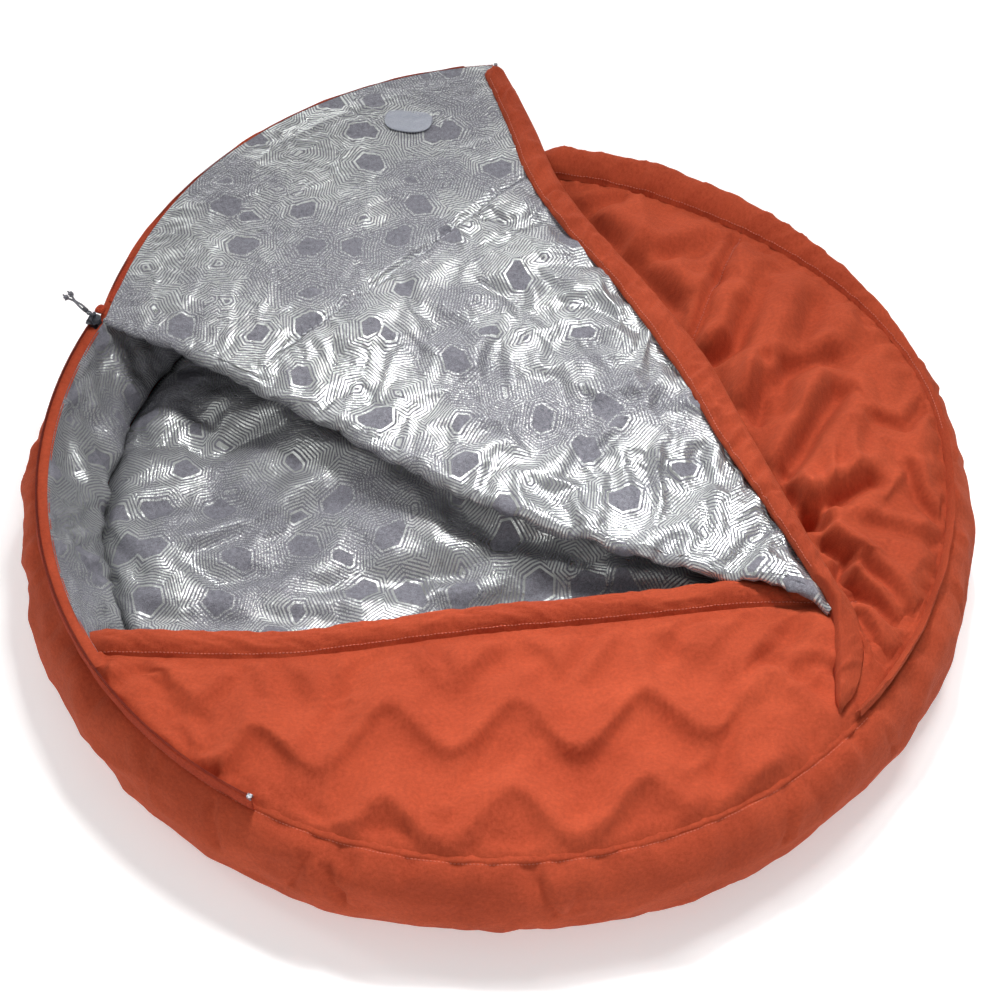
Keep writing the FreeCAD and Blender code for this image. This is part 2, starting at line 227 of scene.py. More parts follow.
def turned(points, degrees):
    """Points turned about the fold axis."""
    p = np.asarray(points, float) - FOLD_START
    c = math.cos(math.radians(degrees))
    s = math.sin(math.radians(degrees))
    along = (p @ FOLD_AXIS)[..., None] * FOLD_AXIS
    return FOLD_START + p * c + np.cross(FOLD_AXIS, p) * s + along * (1 - c)


FOLD_TRAVEL_DEG = 179.0


def behind_fold(points):
    """Distance behind the fold axis."""
    return (np.asarray(points, float) - FOLD_START) @ FOLD_SIDE


def zip_point(sweep_deg, outwards=0.0, up=0.0):
    """A place on the zip's arc when shut: sweep from its sewn end, then outwards and up from its middle line."""
    radial = unit((FOLD_START - ZIP_CENTRE) - ((FOLD_START - ZIP_CENTRE) @ ZIP_AXIS) * ZIP_AXIS)
    ahead = np.cross(ZIP_AXIS, radial)
    radius = np.linalg.norm(np.cross(FOLD_START - ZIP_CENTRE, ZIP_AXIS)) + np.asarray(outwards, float)
    angle = np.radians(sweep_deg)
    spread = radial * np.cos(angle)[..., None] + ahead * np.sin(angle)[..., None]
    return ZIP_CENTRE + radius[..., None] * spread + np.asarray(up, float)[..., None] * ZIP_AXIS


def flap_zip_point(sweep_deg, outwards=0.0, up=0.0):
    """The same place on the flap's half, folded back with the flap."""
    return turned(zip_point(sweep_deg, outwards, up), -FOLD_TRAVEL_DEG)


# ---- meshes ----
def mesh_piece(name, points, faces, uv, finish):
    """A smooth-shaded piece from points in millimetres. uv is one pair per point, in millimetres of cloth."""
    mesh = bpy.data.meshes.new(name)
    mesh.from_pydata((np.asarray(points) * MM).tolist(), [], faces.tolist() if hasattr(faces, "tolist") else faces)
    mesh.polygons.foreach_set("use_smooth", np.ones(len(mesh.polygons), bool))
    corners = np.empty(len(mesh.loops), np.int32)
    mesh.loops.foreach_get("vertex_index", corners)
    layer = mesh.uv_layers.new(name="cloth")
    layer.data.foreach_set("uv", (np.asarray(uv, float)[corners] * MM).astype(np.float32).ravel())
    mesh.materials.append(finish)
    piece = bpy.data.objects.new(name, mesh)
    bpy.context.scene.collection.objects.link(piece)
    return piece


def grid_faces(rows, cols, closed=False):
    r = np.arange(rows - 1)[:, None] * cols
    c = np.arange(cols if closed else cols - 1)[None, :]
    n = (c + 1) % cols
    quads = np.stack([r + c, r + n, r + n + cols, r + c + cols], -1)
    return quads.reshape(-1, 4)


def sheet(name, points, uv, finish, flip=False):
    """A cloth sheet from a (rows, cols, 3) array."""
    rows, cols = points.shape[:2]
    faces = grid_faces(rows, cols)
    if flip:
        faces = faces[:, ::-1]
    return mesh_piece(name, points.reshape(-1, 3), faces, uv.reshape(-1, 2), finish)


def sweep(name, path, side, up, outline, finish, caps=True):
    """A closed outline carried along a path. side and up are unit vectors, the outline is (1 or n, m, 2)."""
    n = len(path)
    outline = np.broadcast_to(outline, (n,) + np.shape(outline)[1:])
    m = outline.shape[1]
    points = path[:, None] + side[:, None] * outline[..., :1] + up[:, None] * outline[..., 1:]
    along = np.concatenate([[0.0], np.cumsum(np.linalg.norm(np.diff(path, axis=0), axis=1))])
    around = np.linspace(0.0, 1.0, m) * np.linalg.norm(np.diff(outline[n // 2], axis=0), axis=1).sum()
    uv = np.stack(np.broadcast_arrays(along[:, None], around[None, :]), -1).reshape(-1, 2)
    faces = grid_faces(n, m, closed=True).tolist()
    if caps:
        faces.append(list(range(m))[::-1])
        faces.append([(n - 1) * m + k for k in range(m)])
    return mesh_piece(name, points.reshape(-1, 3), faces, uv, finish)


def ring_outline(radius, count, flat=1.0):
    t = np.linspace(0.0, 2.0 * np.pi, count, endpoint=False)
    return np.stack([radius * np.cos(t), radius * flat * np.sin(t)], -1)[None]


def path_frame(path, upward):
    """Side and up vectors along a path."""
    ahead = unit(np.gradient(path, axis=0))
    side = unit(np.cross(ahead, np.broadcast_to(upward, ahead.shape)))
    return side, np.cross(side, ahead)


def tube(name, path, radius, finish, sides=8, upward=(0.0, 0.0, 1.0)):
    side, up = path_frame(path, np.asarray(upward, float))
    return sweep(name, path, side, up, ring_outline(radius, sides), finish)


def joined(name, pieces):
    """One piece out of several."""
    with bpy.context.temp_override(active_object=pieces[0], selected_editable_objects=pieces):
        bpy.ops.object.join()
    pieces[0].name = name
    pieces[0].data.name = name
    return pieces[0]


def thicken(piece, thickness, offset=-1.0):
    wall = piece.modifiers.new("thickness", "SOLIDIFY")
    wall.thickness = thickness * MM
    wall.offset = offset
    return piece


def points_of(piece):
    co = np.empty(len(piece.data.vertices) * 3, np.float32)
    piece.data.vertices.foreach_get("co", co)
    return co.reshape(-1, 3).astype(float)


def settle(piece, pinned, growth, pressure, limit, bending=1.0, frames=20):
    """Lets cloth that is a little too large for its outline wrinkle over its padding, as stuffed cloth does.
    pinned is 1 where a point stays put. No point ends further than limit from where it started."""
    start = points_of(piece)
    group = piece.vertex_groups.new(name="pinned")
    weights = np.round(np.clip(pinned, 0.0, 1.0), 1)
    for weight in np.unique(weights[weights > 0.0]):
        group.add(np.nonzero(weights == weight)[0].tolist(), float(weight), "REPLACE")
    cloth = piece.modifiers.new("cloth", "CLOTH")
    cloth.settings.quality = 4
    cloth.settings.mass = 0.12
    cloth.settings.air_damping = 4.0
    cloth.settings.tension_stiffness = 12.0
    cloth.settings.compression_stiffness = 12.0
    cloth.settings.shear_stiffness = 5.0
    cloth.settings.bending_stiffness = bending
    cloth.settings.vertex_group_mass = "pinned"
    cloth.settings.shrink_min = -growth
    cloth.settings.use_pressure = pressure != 0.0
    cloth.settings.uniform_pressure_force = pressure
    cloth.settings.effector_weights.gravity = 0.0
    cloth.collision_settings.use_collision = False
    cloth.collision_settings.use_self_collision = False
    cloth.point_cache.frame_start = 1
    cloth.point_cache.frame_end = frames
    for step in range(1, frames + 1):
        bpy.context.scene.frame_set(step)
    depsgraph = bpy.context.evaluated_depsgraph_get()
    result = piece.evaluated_get(depsgraph).to_mesh()
    moved = np.empty(len(result.vertices) * 3, np.float32)
    result.vertices.foreach_get("co", moved)
    piece.evaluated_get(depsgraph).to_mesh_clear()
    shift = moved.reshape(-1, 3).astype(float) - start
    length = np.maximum(np.linalg.norm(shift, axis=1, keepdims=True), 1e-9)
    cap = limit * MM
    shift *= cap * np.tanh(length / cap) / length
    piece.modifiers.remove(cloth)
    piece.data.vertices.foreach_set("co", (start + shift).astype(np.float32).ravel())
    piece.data.update()
    bpy.context.scene.frame_set(1)


def surface_tree(piece):
    """The piece's surface, for laying stitches on."""
    faces = [tuple(p.vertices) for p in piece.data.polygons]
    return BVHTree.FromPolygons([tuple(v.co) for v in piece.data.vertices], faces)


def laid_on(tree, path, lift=0.3):
    """The path dropped on to a surface, with the surface's direction at each point."""
    points = []
    normals = []
    for p in path * MM:
        hit = tree.ray_cast(Vector((p[0], p[1], p[2] + 0.06)), Vector((0.0, 0.0, -1.0)))
        if hit[0] is None:
            hit = tree.find_nearest(Vector(p))
        normal = hit[1] if hit[1].z >= 0 else -hit[1]
        points.append(np.array(hit[0]) / MM + np.array(normal) * lift)
        normals.append(np.array(normal))
    return np.array(points), np.array(normals)


def stitch_run(name, path, normals, finish, pitch=STITCH_PITCH, radius=STITCH_RADIUS, fill=0.72):
    """A row of stitches: small rounded lengths of thread, half sunk in the cloth."""
    steps = np.concatenate([[0.0], np.cumsum(np.linalg.norm(np.diff(path, axis=0), axis=1))])
    count = max(2, int(steps[-1] / pitch))
    middle = (np.arange(count) + 0.5) * steps[-1] / count

    def sample(values, at):
        return np.stack([np.interp(at, steps, values[:, k]) for k in range(3)], -1)

    centre = sample(path, middle)
    ahead = unit(sample(path, middle + 0.5) - sample(path, middle - 0.5))
    normal = unit(sample(normals, middle))
    across = unit(np.cross(ahead, normal))
    stations = np.array([-1.0, -0.7, 0.0, 0.7, 1.0])
    girth = np.array([0.15, 0.8, 1.0, 0.8, 0.15]) * radius
    turn = np.linspace(0.0, 2.0 * np.pi, 6, endpoint=False)
    half = pitch * fill / 2
    points = (centre[:, None, None]
              + ahead[:, None, None] * (stations * half)[None, :, None, None]
              + across[:, None, None] * (girth[:, None] * np.cos(turn))[None, :, :, None]
              + normal[:, None, None] * (girth[:, None] * np.sin(turn))[None, :, :, None])
    one = grid_faces(5, 6, closed=True)
    faces = (one[None] + (np.arange(count) * 30)[:, None, None]).reshape(-1, 4)
    uv = points.reshape(-1, 3)[:, :2]
    return mesh_piece(name, points.reshape(-1, 3), faces, uv, finish)


# ---- materials ----
class Finish:
    """A node material with a short way to add and join nodes."""

    def __init__(self, name):
        self.material = bpy.data.materials.new(name)
        self.material.use_nodes = True
        self.tree = self.material.node_tree
        self.shader = self.tree.nodes["Principled BSDF"]

    def node(self, kind, inputs=None, **settings):
        made = self.tree.nodes.new(kind)
        for key, value in settings.items():
            setattr(made, key, value)
        for key, value in (inputs or {}).items():
            self.put(made.inputs[key], value)
        return made

    def put(self, socket, value):
        if isinstance(value, bpy.types.NodeSocket):
            self.tree.links.new(value, socket)
        else:
            socket.default_value = value

    def math(self, operation, *values, clamp=False):
        made = self.node("ShaderNodeMath", operation=operation, use_clamp=clamp)
        for socket, value in zip(made.inputs, values):
            self.put(socket, value)
        return made.outputs[0]

    def vector(self, operation, *values):
        made = self.node("ShaderNodeVectorMath", operation=operation)
        for socket, value in zip(made.inputs, values):
            self.put(socket, value)
        return made.outputs["Value"] if operation in ("DOT_PRODUCT", "LENGTH") else made.outputs[0]

    def noise(self, vector, scale, detail=2.0, roughness=0.5):
        made = self.node("ShaderNodeTexNoise", {"Vector": vector, "Scale": scale, "Detail": detail,
                                                "Roughness": roughness})
        return made.outputs["Fac"]

    def mix(self, factor, a, b):
        made = self.node("ShaderNodeMix", data_type="RGBA")
        self.put(made.inputs[0], factor)
        self.put(made.inputs[6], a)
        self.put(made.inputs[7], b)
        return made.outputs[2]

    def range(self, value, low_in, high_in, low_out=0.0, high_out=1.0):
        made = self.node("ShaderNodeMapRange", {"Value": value, "From Min": low_in, "From Max": high_in,
                                                "To Min": low_out, "To Max": high_out})
        return made.outputs[0]

    def cloth(self):
        """Cloth coordinates in metres."""
        return self.node("ShaderNodeUVMap", uv_map="cloth").outputs[0]

    def place(self):
        return self.node("ShaderNodeTexCoord").outputs["Object"]

    def bump(self, height, distance, strength=1.0, under=None):
        made = self.node("ShaderNodeBump", {"Height": height, "Distance": distance, "Strength": strength})
        if under is not None:
            self.put(made.inputs["Normal"], under)
        return made.outputs[0]

    def set(self, **values):
        names = {"base": "Base Color", "rough": "Roughness", "metal": "Metallic", "normal": "Normal",
                 "sheen": "Sheen Weight", "sheen_rough": "Sheen Roughness", "sheen_tint": "Sheen Tint",
                 "specular": "Specular IOR Level", "coat": "Coat Weight", "coat_rough": "Coat Roughness",
                 "glow": "Emission Color", "glow_amount": "Emission Strength"}
        for key, value in values.items():
            self.put(self.shader.inputs[names[key]], value)
        return self.material


def tint(red, green, blue):
    """A colour from 0-255 display values."""
    def linear(v):
        v = v / 255.0
        return v / 12.92 if v <= 0.04045 else ((v + 0.055) / 1.055) ** 2.4
    return (linear(red), linear(green), linear(blue), 1.0)


def woven(f, uv, pitch):
    """Height of a plain weave with the given thread pitch in metres."""
    split = f.node("ShaderNodeSeparateXYZ", {"Vector": uv})
    turns = 2.0 * math.pi / pitch
    warp = f.math("SINE", f.math("MULTIPLY", split.outputs[0], turns))
    weft = f.math("SINE", f.math("MULTIPLY", split.outputs[1], turns))
    return f.math("MULTIPLY", warp, weft)


def shell_cloth(name, light, dark, pitch=0.0011):
    """Peached polyester: fine weave, slight mottling, soft sheen."""
    f = Finish(name)
    uv = f.cloth()
    weave = woven(f, uv, pitch)
    grain = f.noise(uv, 1400.0, 2.0, 0.7)
    mottling = f.noise(uv, 9.0, 3.0, 0.6)
    slub = f.noise(uv, 260.0, 3.0, 0.7)
    amount = f.math("ADD", f.math("MULTIPLY", mottling, 0.45), f.math("MULTIPLY", grain, 0.40))
    amount = f.math("ADD", amount, f.math("MULTIPLY", slub, 0.55))
    amount = f.math("ADD", amount, f.math("MULTIPLY", weave, 0.05))
    colour = f.mix(f.range(amount, 0.50, 0.92), dark, light)
    height = f.math("ADD", f.math("MULTIPLY", weave, 0.35), f.math("MULTIPLY_ADD", slub, 1.4, grain))
    creased = f.bump(f.noise(uv, 48.0, 5.0, 0.62), 0.0022, 0.6)
    normal = f.bump(height, 0.0004, 0.7, creased)
    return f.set(base=colour, rough=f.range(slub, 0.3, 0.7, 0.80, 0.92), sheen=0.18, sheen_rough=0.5,
                 sheen_tint=tint(255, 150, 110), specular=0.14, normal=normal)


def contour_mask(f, uv):
    """1 on the foil of a generic contour pattern: nested rings round scattered plain islands."""
    bend = f.node("ShaderNodeTexNoise", {"Vector": uv, "Scale": 24.0, "Detail": 1.0})
    pushed = f.vector("SUBTRACT", bend.outputs["Color"], (0.5, 0.5, 0.5))
    warped = f.vector("ADD", uv, f.vector("MULTIPLY", pushed, (0.009, 0.009, 0.0)))
    cells = f.node("ShaderNodeTexVoronoi", {"Vector": warped, "Scale": 17.5, "Randomness": 0.9},
                   voronoi_dimensions="2D", feature="F1")
    chance = f.node("ShaderNodeSeparateColor", {"Color": cells.outputs["Color"]})
    from_centre = f.vector("SUBTRACT", warped, cells.outputs["Position"])
    split = f.node("ShaderNodeSeparateXYZ", {"Vector": from_centre})
    flat = f.node("ShaderNodeCombineXYZ", {"X": split.outputs[0], "Y": split.outputs[1], "Z": 0.0})
    spin = f.math("MULTIPLY", chance.outputs[0], 2.0 * math.pi)
    spun = f.node("ShaderNodeVectorRotate", {"Vector": flat.outputs[0], "Angle": spin}, rotation_type="Z_AXIS")
    reach = None
    for k in range(6):
        angle = 2.0 * math.pi * k / 6
        side = f.vector("DOT_PRODUCT", spun.outputs[0], (math.cos(angle), math.sin(angle), 0.0))
        uneven = f.math("SINE", f.math("MULTIPLY_ADD", chance.outputs[2], 25.0, 2.4 * k))
        side = f.math("MULTIPLY_ADD", uneven, -0.0030, side)
        if reach is None:
            reach = side
        else:
            rounded = f.node("ShaderNodeMath", operation="SMOOTH_MAX")
            for socket, value in zip(rounded.inputs, (reach, side, 0.0014)):
                f.put(socket, value)
            reach = rounded.outputs[0]
    island = f.range(chance.outputs[1], 0.25, 0.70, 0.0026, 0.0140)
    past = f.math("SUBTRACT", reach, island)
    lines = f.math("FRACT", f.math("DIVIDE", past, 0.0030))
    striped = f.range(lines, 0.42, 0.52)
    outside = f.range(past, 0.0, 0.0004)
    gap = f.math("GREATER_THAN", f.math("ABSOLUTE", f.math("SUBTRACT", past, 0.0034)), 0.0010)
    ring = f.math("LESS_THAN", past, 0.0024)
    body = f.math("MAXIMUM", striped, ring)
    core = f.math("MULTIPLY", f.math("LESS_THAN", island, 0.006), f.math("LESS_THAN", reach, 0.0012))
    mask = f.math("MULTIPLY", f.math("MULTIPLY", body, outside), gap)
    return f.math("MAXIMUM", mask, core)


def reflective_lining(name):
    """Grey heather cloth printed with foil."""
    f = Finish(name)
    uv = f.cloth()
    mask = contour_mask(f, uv)
    fibre = f.noise(uv, 900.0, 3.0, 0.75)
    heather = f.noise(uv, 240.0, 3.0, 0.7)
    tone = f.math("ADD", f.math("MULTIPLY", fibre, 0.6), f.math("MULTIPLY", heather, 0.4))
    base = f.mix(f.range(tone, 0.33, 0.68), tint(74, 74, 82), tint(154, 153, 162))
    wear = f.noise(uv, 700.0, 2.0, 0.6)
    patchy = f.range(f.noise(uv, 6.0, 3.0, 0.6), 0.44, 0.60, 0.48, 0.22)
    worn = f.math("MULTIPLY", mask, f.range(f.math("SUBTRACT", wear, patchy), 0.0, 0.10))
    foil = tint(196, 199, 196)
    colour = f.mix(worn, base, foil)
    crinkle = f.noise(uv, 95.0, 5.0, 0.62)
    creased = f.bump(crinkle, 0.0030, 0.65)
    normal = f.bump(fibre, 0.0003, 0.5, creased)
    rough = f.math("ADD", f.math("MULTIPLY", worn, -0.34), f.range(crinkle, 0.3, 0.7, 0.60, 0.70))
    return f.set(base=colour, metal=f.math("MULTIPLY", worn, f.range(f.noise(uv, 5.0, 2.0), 0.42, 0.58, 0.6, 0.92)), rough=rough, specular=0.3, normal=normal)


def ribbed_tape(name):
    f = Finish(name)
    uv = f.cloth()
    split = f.node("ShaderNodeSeparateXYZ", {"Vector": uv})
    rib = f.math("SINE", f.math("MULTIPLY", split.outputs[0], 2.0 * math.pi / 0.0014))
    row = f.math("SINE", f.math("MULTIPLY", split.outputs[1], 2.0 * math.pi / 0.0020))
    height = f.math("ADD", rib, f.math("MULTIPLY", row, 0.6))
    grain = f.noise(uv, 500.0, 3.0)
    colour = f.mix(f.range(f.math("ADD", grain, f.math("MULTIPLY", height, 0.08)), 0.3, 0.75),
                   tint(140, 48, 28), tint(186, 74, 46))
    return f.set(base=colour, rough=0.85, specular=0.15, normal=f.bump(height, 0.0002, 0.6))


def plain_thread(name, colour, shade):
    """Twisted thread, for stitches and cord."""
    f = Finish(name)
    where = f.place()
    twist = f.noise(where, 1600.0, 2.0, 0.6)
    return f.set(base=f.mix(f.range(twist, 0.3, 0.7), shade, colour), rough=0.6, sheen=0.25,
                 normal=f.bump(twist, 0.0002, 0.5))


def nylon_coil(name):
    f = Finish(name)
    speck = f.noise(f.place(), 900.0, 2.0)
    return f.set(base=f.mix(speck, tint(96, 30, 18), tint(146, 50, 30)), rough=0.5, specular=0.3,
                 normal=f.bump(speck, 0.0001, 0.3))


def cast_metal(name, colour, shade, rough):
    f = Finish(name)
    where = f.place()
    cast = f.noise(where, 700.0, 4.0, 0.6)
    rub = f.noise(where, 180.0, 2.0, 0.5)
    return f.set(base=f.mix(f.range(rub, 0.35, 0.7), shade, colour), metal=1.0,
                 rough=f.range(cast, 0.3, 0.7, rough - 0.08, rough + 0.12), normal=f.bump(cast, 0.0001, 0.35))


def moulded_rubber(name):
    f = Finish(name)
    fine = f.noise(f.place(), 1200.0, 3.0)
    return f.set(base=f.mix(fine, tint(52, 53, 57), tint(78, 79, 84)), rough=0.55, specular=0.4,
                 normal=f.bump(fine, 0.0001, 0.4))


def satin_patch(name):
    f = Finish(name)
    uv = f.cloth()
    split = f.node("ShaderNodeSeparateXYZ", {"Vector": uv})
    ribs = f.math("SINE", f.math("MULTIPLY", split.outputs[1], 2.0 * math.pi / 0.0009))
    fine = f.noise(uv, 600.0, 2.0)
    return f.set(base=f.mix(fine, tint(132, 136, 148), tint(166, 170, 181)), rough=0.38, sheen=0.2,
                 normal=f.bump(f.math("ADD", ribs, fine), 0.0001, 0.5))


def pale_floor(name):
    f = Finish(name)
    faint = f.noise(f.place(), 3.0, 2.0)
    return f.set(base=f.mix(faint, (0.90, 0.90, 0.90, 1.0), (0.93, 0.93, 0.93, 1.0)), rough=0.9, specular=0.1, glow=(1.0, 1.0, 1.0, 1.0), glow_amount=0.32)


RUST = shell_cloth("rust_shell", tint(198, 87, 56), tint(150, 57, 34))
RUST_BINDING = shell_cloth("rust_binding", tint(195, 85, 54), tint(147, 55, 33))
SILVER = reflective_lining("silver_lining")
TAPE = ribbed_tape("rust_tape")
COIL = nylon_coil("rust_coil")
RUST_THREAD = plain_thread("rust_thread", tint(214, 112, 80), tint(156, 62, 40))
SILVER_THREAD = plain_thread("silver_thread", tint(225, 226, 230), tint(150, 151, 158))
GUNMETAL = cast_metal("gunmetal", tint(120, 122, 128), tint(70, 72, 78), 0.34)
BRIGHT_METAL = cast_metal("bright_metal", tint(205, 205, 210), tint(150, 150, 156), 0.26)
RUBBER = moulded_rubber("cord_sleeve")
CORD = plain_thread("grey_cord", tint(132, 132, 140), tint(70, 70, 78))
PATCH = satin_patch("blank_patch")


def on_base(piece, slot, *nodes):
    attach(piece, "base")
    if nodes:
        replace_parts(piece, *nodes)
    return piece


def on_fold(piece, slot, start, end, *nodes):
    """Cloth that crosses the fold axis: its transform is baked into its mesh and the CAD parts it replaces are hidden.
    """
    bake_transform(piece)
    if nodes:
        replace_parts(piece, *nodes)
    return piece


# ---- side wall ----
def seam_height(degrees):
    """Height of the seam between wall and covers: it sits lower round the front."""
    front = (1.0 + np.cos(np.radians(np.asarray(degrees, float) - 275.0))) / 2
    return WALL_TOP - FRONT_SEAM_DIP * smooth(0.55, 0.95, front)


WALL_CREASES = [  # arc heading, height where it starts, lean, depth
    (237.5, 92.0, 14.0, 3.0), (249.5, 88.0, -9.0, 3.5), (252.0, 84.0, 16.0, 4.5), (254.5, 90.0, -5.0, 3.0),
    (274.5, 90.0, 12.0, 3.5), (279.0, 90.0, -8.0, 3.0), (303.5, 92.0, -12.0, 3.5), (306.5, 90.0, 9.0, 3.0),
    (318.0, 92.0, 8.0, 2.5), (228.0, 94.0, 8.0, 2.0), (340.0, 96.0, -8.0, 3.0), (12.0, 98.0, 8.0, 3.0),
    (100.0, 98.0, 8.0, 3.0), (135.0, 98.0, -8.0, 3.0), (176.0, 96.0, 6.0, 2.0), (197.0, 96.0, -7.0, 2.5),
]


def wall_points(degrees, rise):
    """Outer face of the stuffed wall: rise runs from 0 at the floor to 1 at the seam."""
    swing = -90.0 + rise * 170.5
    core = BASE_RADIUS - 3.0
    proud = WALL_RADIUS + BULGE_PROUD - 7.0 * np.sin(np.radians(degrees)) - core
    proud = proud - 2.5 * smooth(0.2, 1.0, np.sin(np.radians(degrees)))
    lift = np.where(swing < 0, BULGE_HEIGHT - 0.4, (seam_height(degrees) - BULGE_HEIGHT) / math.sin(math.radians(80.5)))
    out = np.maximum(np.cos(np.radians(swing)), 0.0) ** 0.82
    r = core + proud * out
    z = BULGE_HEIGHT + lift * np.sin(np.radians(swing))
    arc = np.radians(degrees) * WALL_RADIUS
    near_seam = smooth(0.62, 0.98, rise) * smooth(1.0, 0.975, rise)
    dents = 4.2 * ripples(arc, z * 1.6, 110.0, 3) * smooth(0.0, 0.15, rise) * smooth(1.0, 0.9, rise)
    dents = dents + 2.6 * (wrinkles(arc, z, 75.0, 7, 25.0, 1.8) - 0.4) * smooth(0.1, 0.4, rise) * smooth(1.0, 0.85, rise)
    puckers = 5.0 * ripples(arc, z * 0.25, 21.0, 11, 2) * near_seam
    long_fold = -2.6 * bump_at(z, 24.0 + 5.0 * ripples(arc, arc * 0, 300.0, 5), 4.5) * smooth(-0.1, 0.5, ripples(arc, arc * 0, 420.0, 8))
    marks = 0.0
    for at, top, lean, depth in WALL_CREASES:
        x = (degrees - at + 180.0) % 360.0 - 180.0
        x = np.radians(x) * WALL_RADIUS
        marks = marks + crease(x, z, [(0.0, top), (lean * 0.5, top - 14.0), (lean, top - 30.0)], 1.4 * depth, 4.2)
    push = dents + puckers + long_fold + marks * smooth(1.0, 0.97, rise)
    r = r + push * np.cos(np.radians(np.clip(swing, -60, 70)))
    z = z + push * np.sin(np.radians(np.clip(swing, -20, 70)))
    return polar(r, degrees, np.maximum(z, 0.4)), arc


def wall_shell(name, start_deg, node):
    cols = int(math.pi * WALL_RADIUS / CELL)
    degrees, rise = np.meshgrid(np.linspace(start_deg, start_deg + 180.0, cols), np.linspace(0.0, 1.0, 44))
    points, arc = wall_points(degrees, rise)
    at = degrees[-1] % 360.0
    inwards = 9.0 - 8.0 * smooth(ZIP_START_DEG - 8.0, ZIP_START_DEG, at) * smooth(ZIP_END_DEG + 8.0, ZIP_END_DEG, at)
    tuck = points[-1] - unit(points[-1] * np.array([1.0, 1.0, 0.0])) * inwards[:, None] - np.array([0.0, 0.0, 1.0])
    points = np.concatenate([points, tuck[None]])
    uv = np.stack([arc, rise * 150.0], -1)
    uv = np.concatenate([uv, uv[-1:] + np.array([0.0, 9.0])])
    return on_base(sheet(name, points, uv, RUST), "shell_cloth", node)


def bottom_panel():
    rings = np.linspace(0.0, 1.0, 24)
    degrees, part = np.meshgrid(np.linspace(0.0, 360.0, 145), rings)
    radius = (BASE_RADIUS - 2.0) * part
    points = polar(radius, degrees, 0.3)
    sag = 0.5 + ripples(points[..., 0], points[..., 1], 110.0, 21)
    points[..., 2] += 0.9 * (1 - part) * np.maximum(sag, 0.0)
    piece = sheet("bottom_panel", points, points[..., :2].copy(), RUST_BINDING)
    return on_base(thicken(piece, 0.8), "shell_cloth", "bottom_shell")


SIDE_CREASES = [
    ([(-432, 195), (-400, 188), (-385, 199)], 6.0, 7.0), ([(-436, 95), (-408, 45), (-404, 5)], 6.0, 8.0),
    ([(-430, 150), (-408, 132)], 3.0, 8.0), ([(-438, -5), (-415, -30), (-400, -60)], 5.0, 8.0),
    ([(-425, -80), (-400, -120)], 4.0, 9.0), ([(-434, 55), (-422, 20)], 3.5, 7.0),
]


def side_lining():
    """Puffed lining of the inner wall. Along the zip its top edge follows the standing tape."""
    cols = int(2 * math.pi * COVER_RADIUS / (CELL + 1.5))
    degrees, rise = np.meshgrid(np.linspace(0.0, 360.0, cols), np.linspace(0.0, 1.0, 26))
    tape = smooth(-10.0, 0.0, degrees - ZIP_START_DEG) * smooth(8.0, -2.0, degrees - ZIP_END_DEG)
    coil_z = zip_point(np.clip(degrees - ZIP_START_DEG, 0, ZIP_SWEEP_DEG))[..., 2]
    front = smooth(HEM_LEFT_DEG + 2.0, HEM_LEFT_DEG + 8.0, degrees) * smooth(342.0, 330.0, degrees)
    top_z = REAR_LOW - 4.0 + tape * (coil_z + 0.5 - REAR_LOW)
    top_z = top_z * (1 - front) + (FRONT_LOW - 3.0) * front
    top_r = SEAM_RADIUS - 5.0 - 2.5 * tape * (1 - front) - 5.0 * front
    foot_z = FLOOR_TOP - 11.0
    foot_r = FLOOR_RADIUS + 1.0
    r = foot_r + (top_r - foot_r) * smooth(0.10, 1.0, rise) ** 0.85
    z = foot_z + (top_z - foot_z) * rise
    puff = np.sin(np.pi * np.clip(rise, 0, 1)) ** 0.55
    arc = np.radians(degrees) * COVER_RADIUS
    x, y = (polar(r, degrees)[..., k] for k in (0, 1))
    push = SIDE_PUFF * puff * (1.0 + 0.3 * ripples(arc, z, 80.0, 31))
    push = push + puff * (9.0 * wrinkles(arc, z * 1.3, 52.0, 33, 62.0, 1.8) - 3.5) + creases(x, y, SIDE_CREASES) * puff
    push = push + puff * 4.0 * (wrinkles(arc, z, 24.0, 35, 20.0, 1.4) - 0.3)
    push = push + 8.0 * bump_at(rise, 0.24, 0.18) * smooth(0.0, 0.08, rise) * (0.8 + ripples(arc, arc * 0, 60.0, 37))
    push = np.maximum(push, 1.5 * puff)
    r = r - push * 0.72
    z = z + push * 0.45 * smooth(0.0, 0.4, rise) * smooth(1.0, 0.8, rise)
    points = polar(r, degrees, z)
    uv = np.stack([arc, rise * 95.0], -1)
    piece = sheet("side_lining", points, uv, SILVER, flip=True)
    return on_base(piece, "reflective_lining", "wall_lining", "wall_fill")


FLOOR_CREASES = [
    ([(-364, 66), (-292, 50), (-225, 70)], 7.0, 15.0), ([(-208, -100), (-267, -109), (-305, -81), (-252, -56)], 6.0, 12.0),
    ([(-270, 66), (-188, 100), (-150, 118)], 6.0, 11.0), ([(-357, 173), (-291, 158)], 5.0, 11.0),
    ([(-366, -29), (-317, -14), (-255, -16)], 6.0, 13.0), ([(-202, -43), (-180, -27), (-85, -38)], 5.0, 14.0),
    ([(-390, -50), (-347, -107)], 6.0, 11.0), ([(-160, -120), (-60, -110), (40, -125)], 5.0, 14.0),
    ([(-90, 0), (0, -75), (90, -112)], 6.0, 16.0), ([(-60, -150), (60, -140), (170, -150)], 5.0, 12.0),
    ([(-330, -150), (-240, -160), (-150, -160)], 6.0, 13.0), ([(-300, 10), (-200, 15), (-120, -8)], 4.0, 16.0),
]


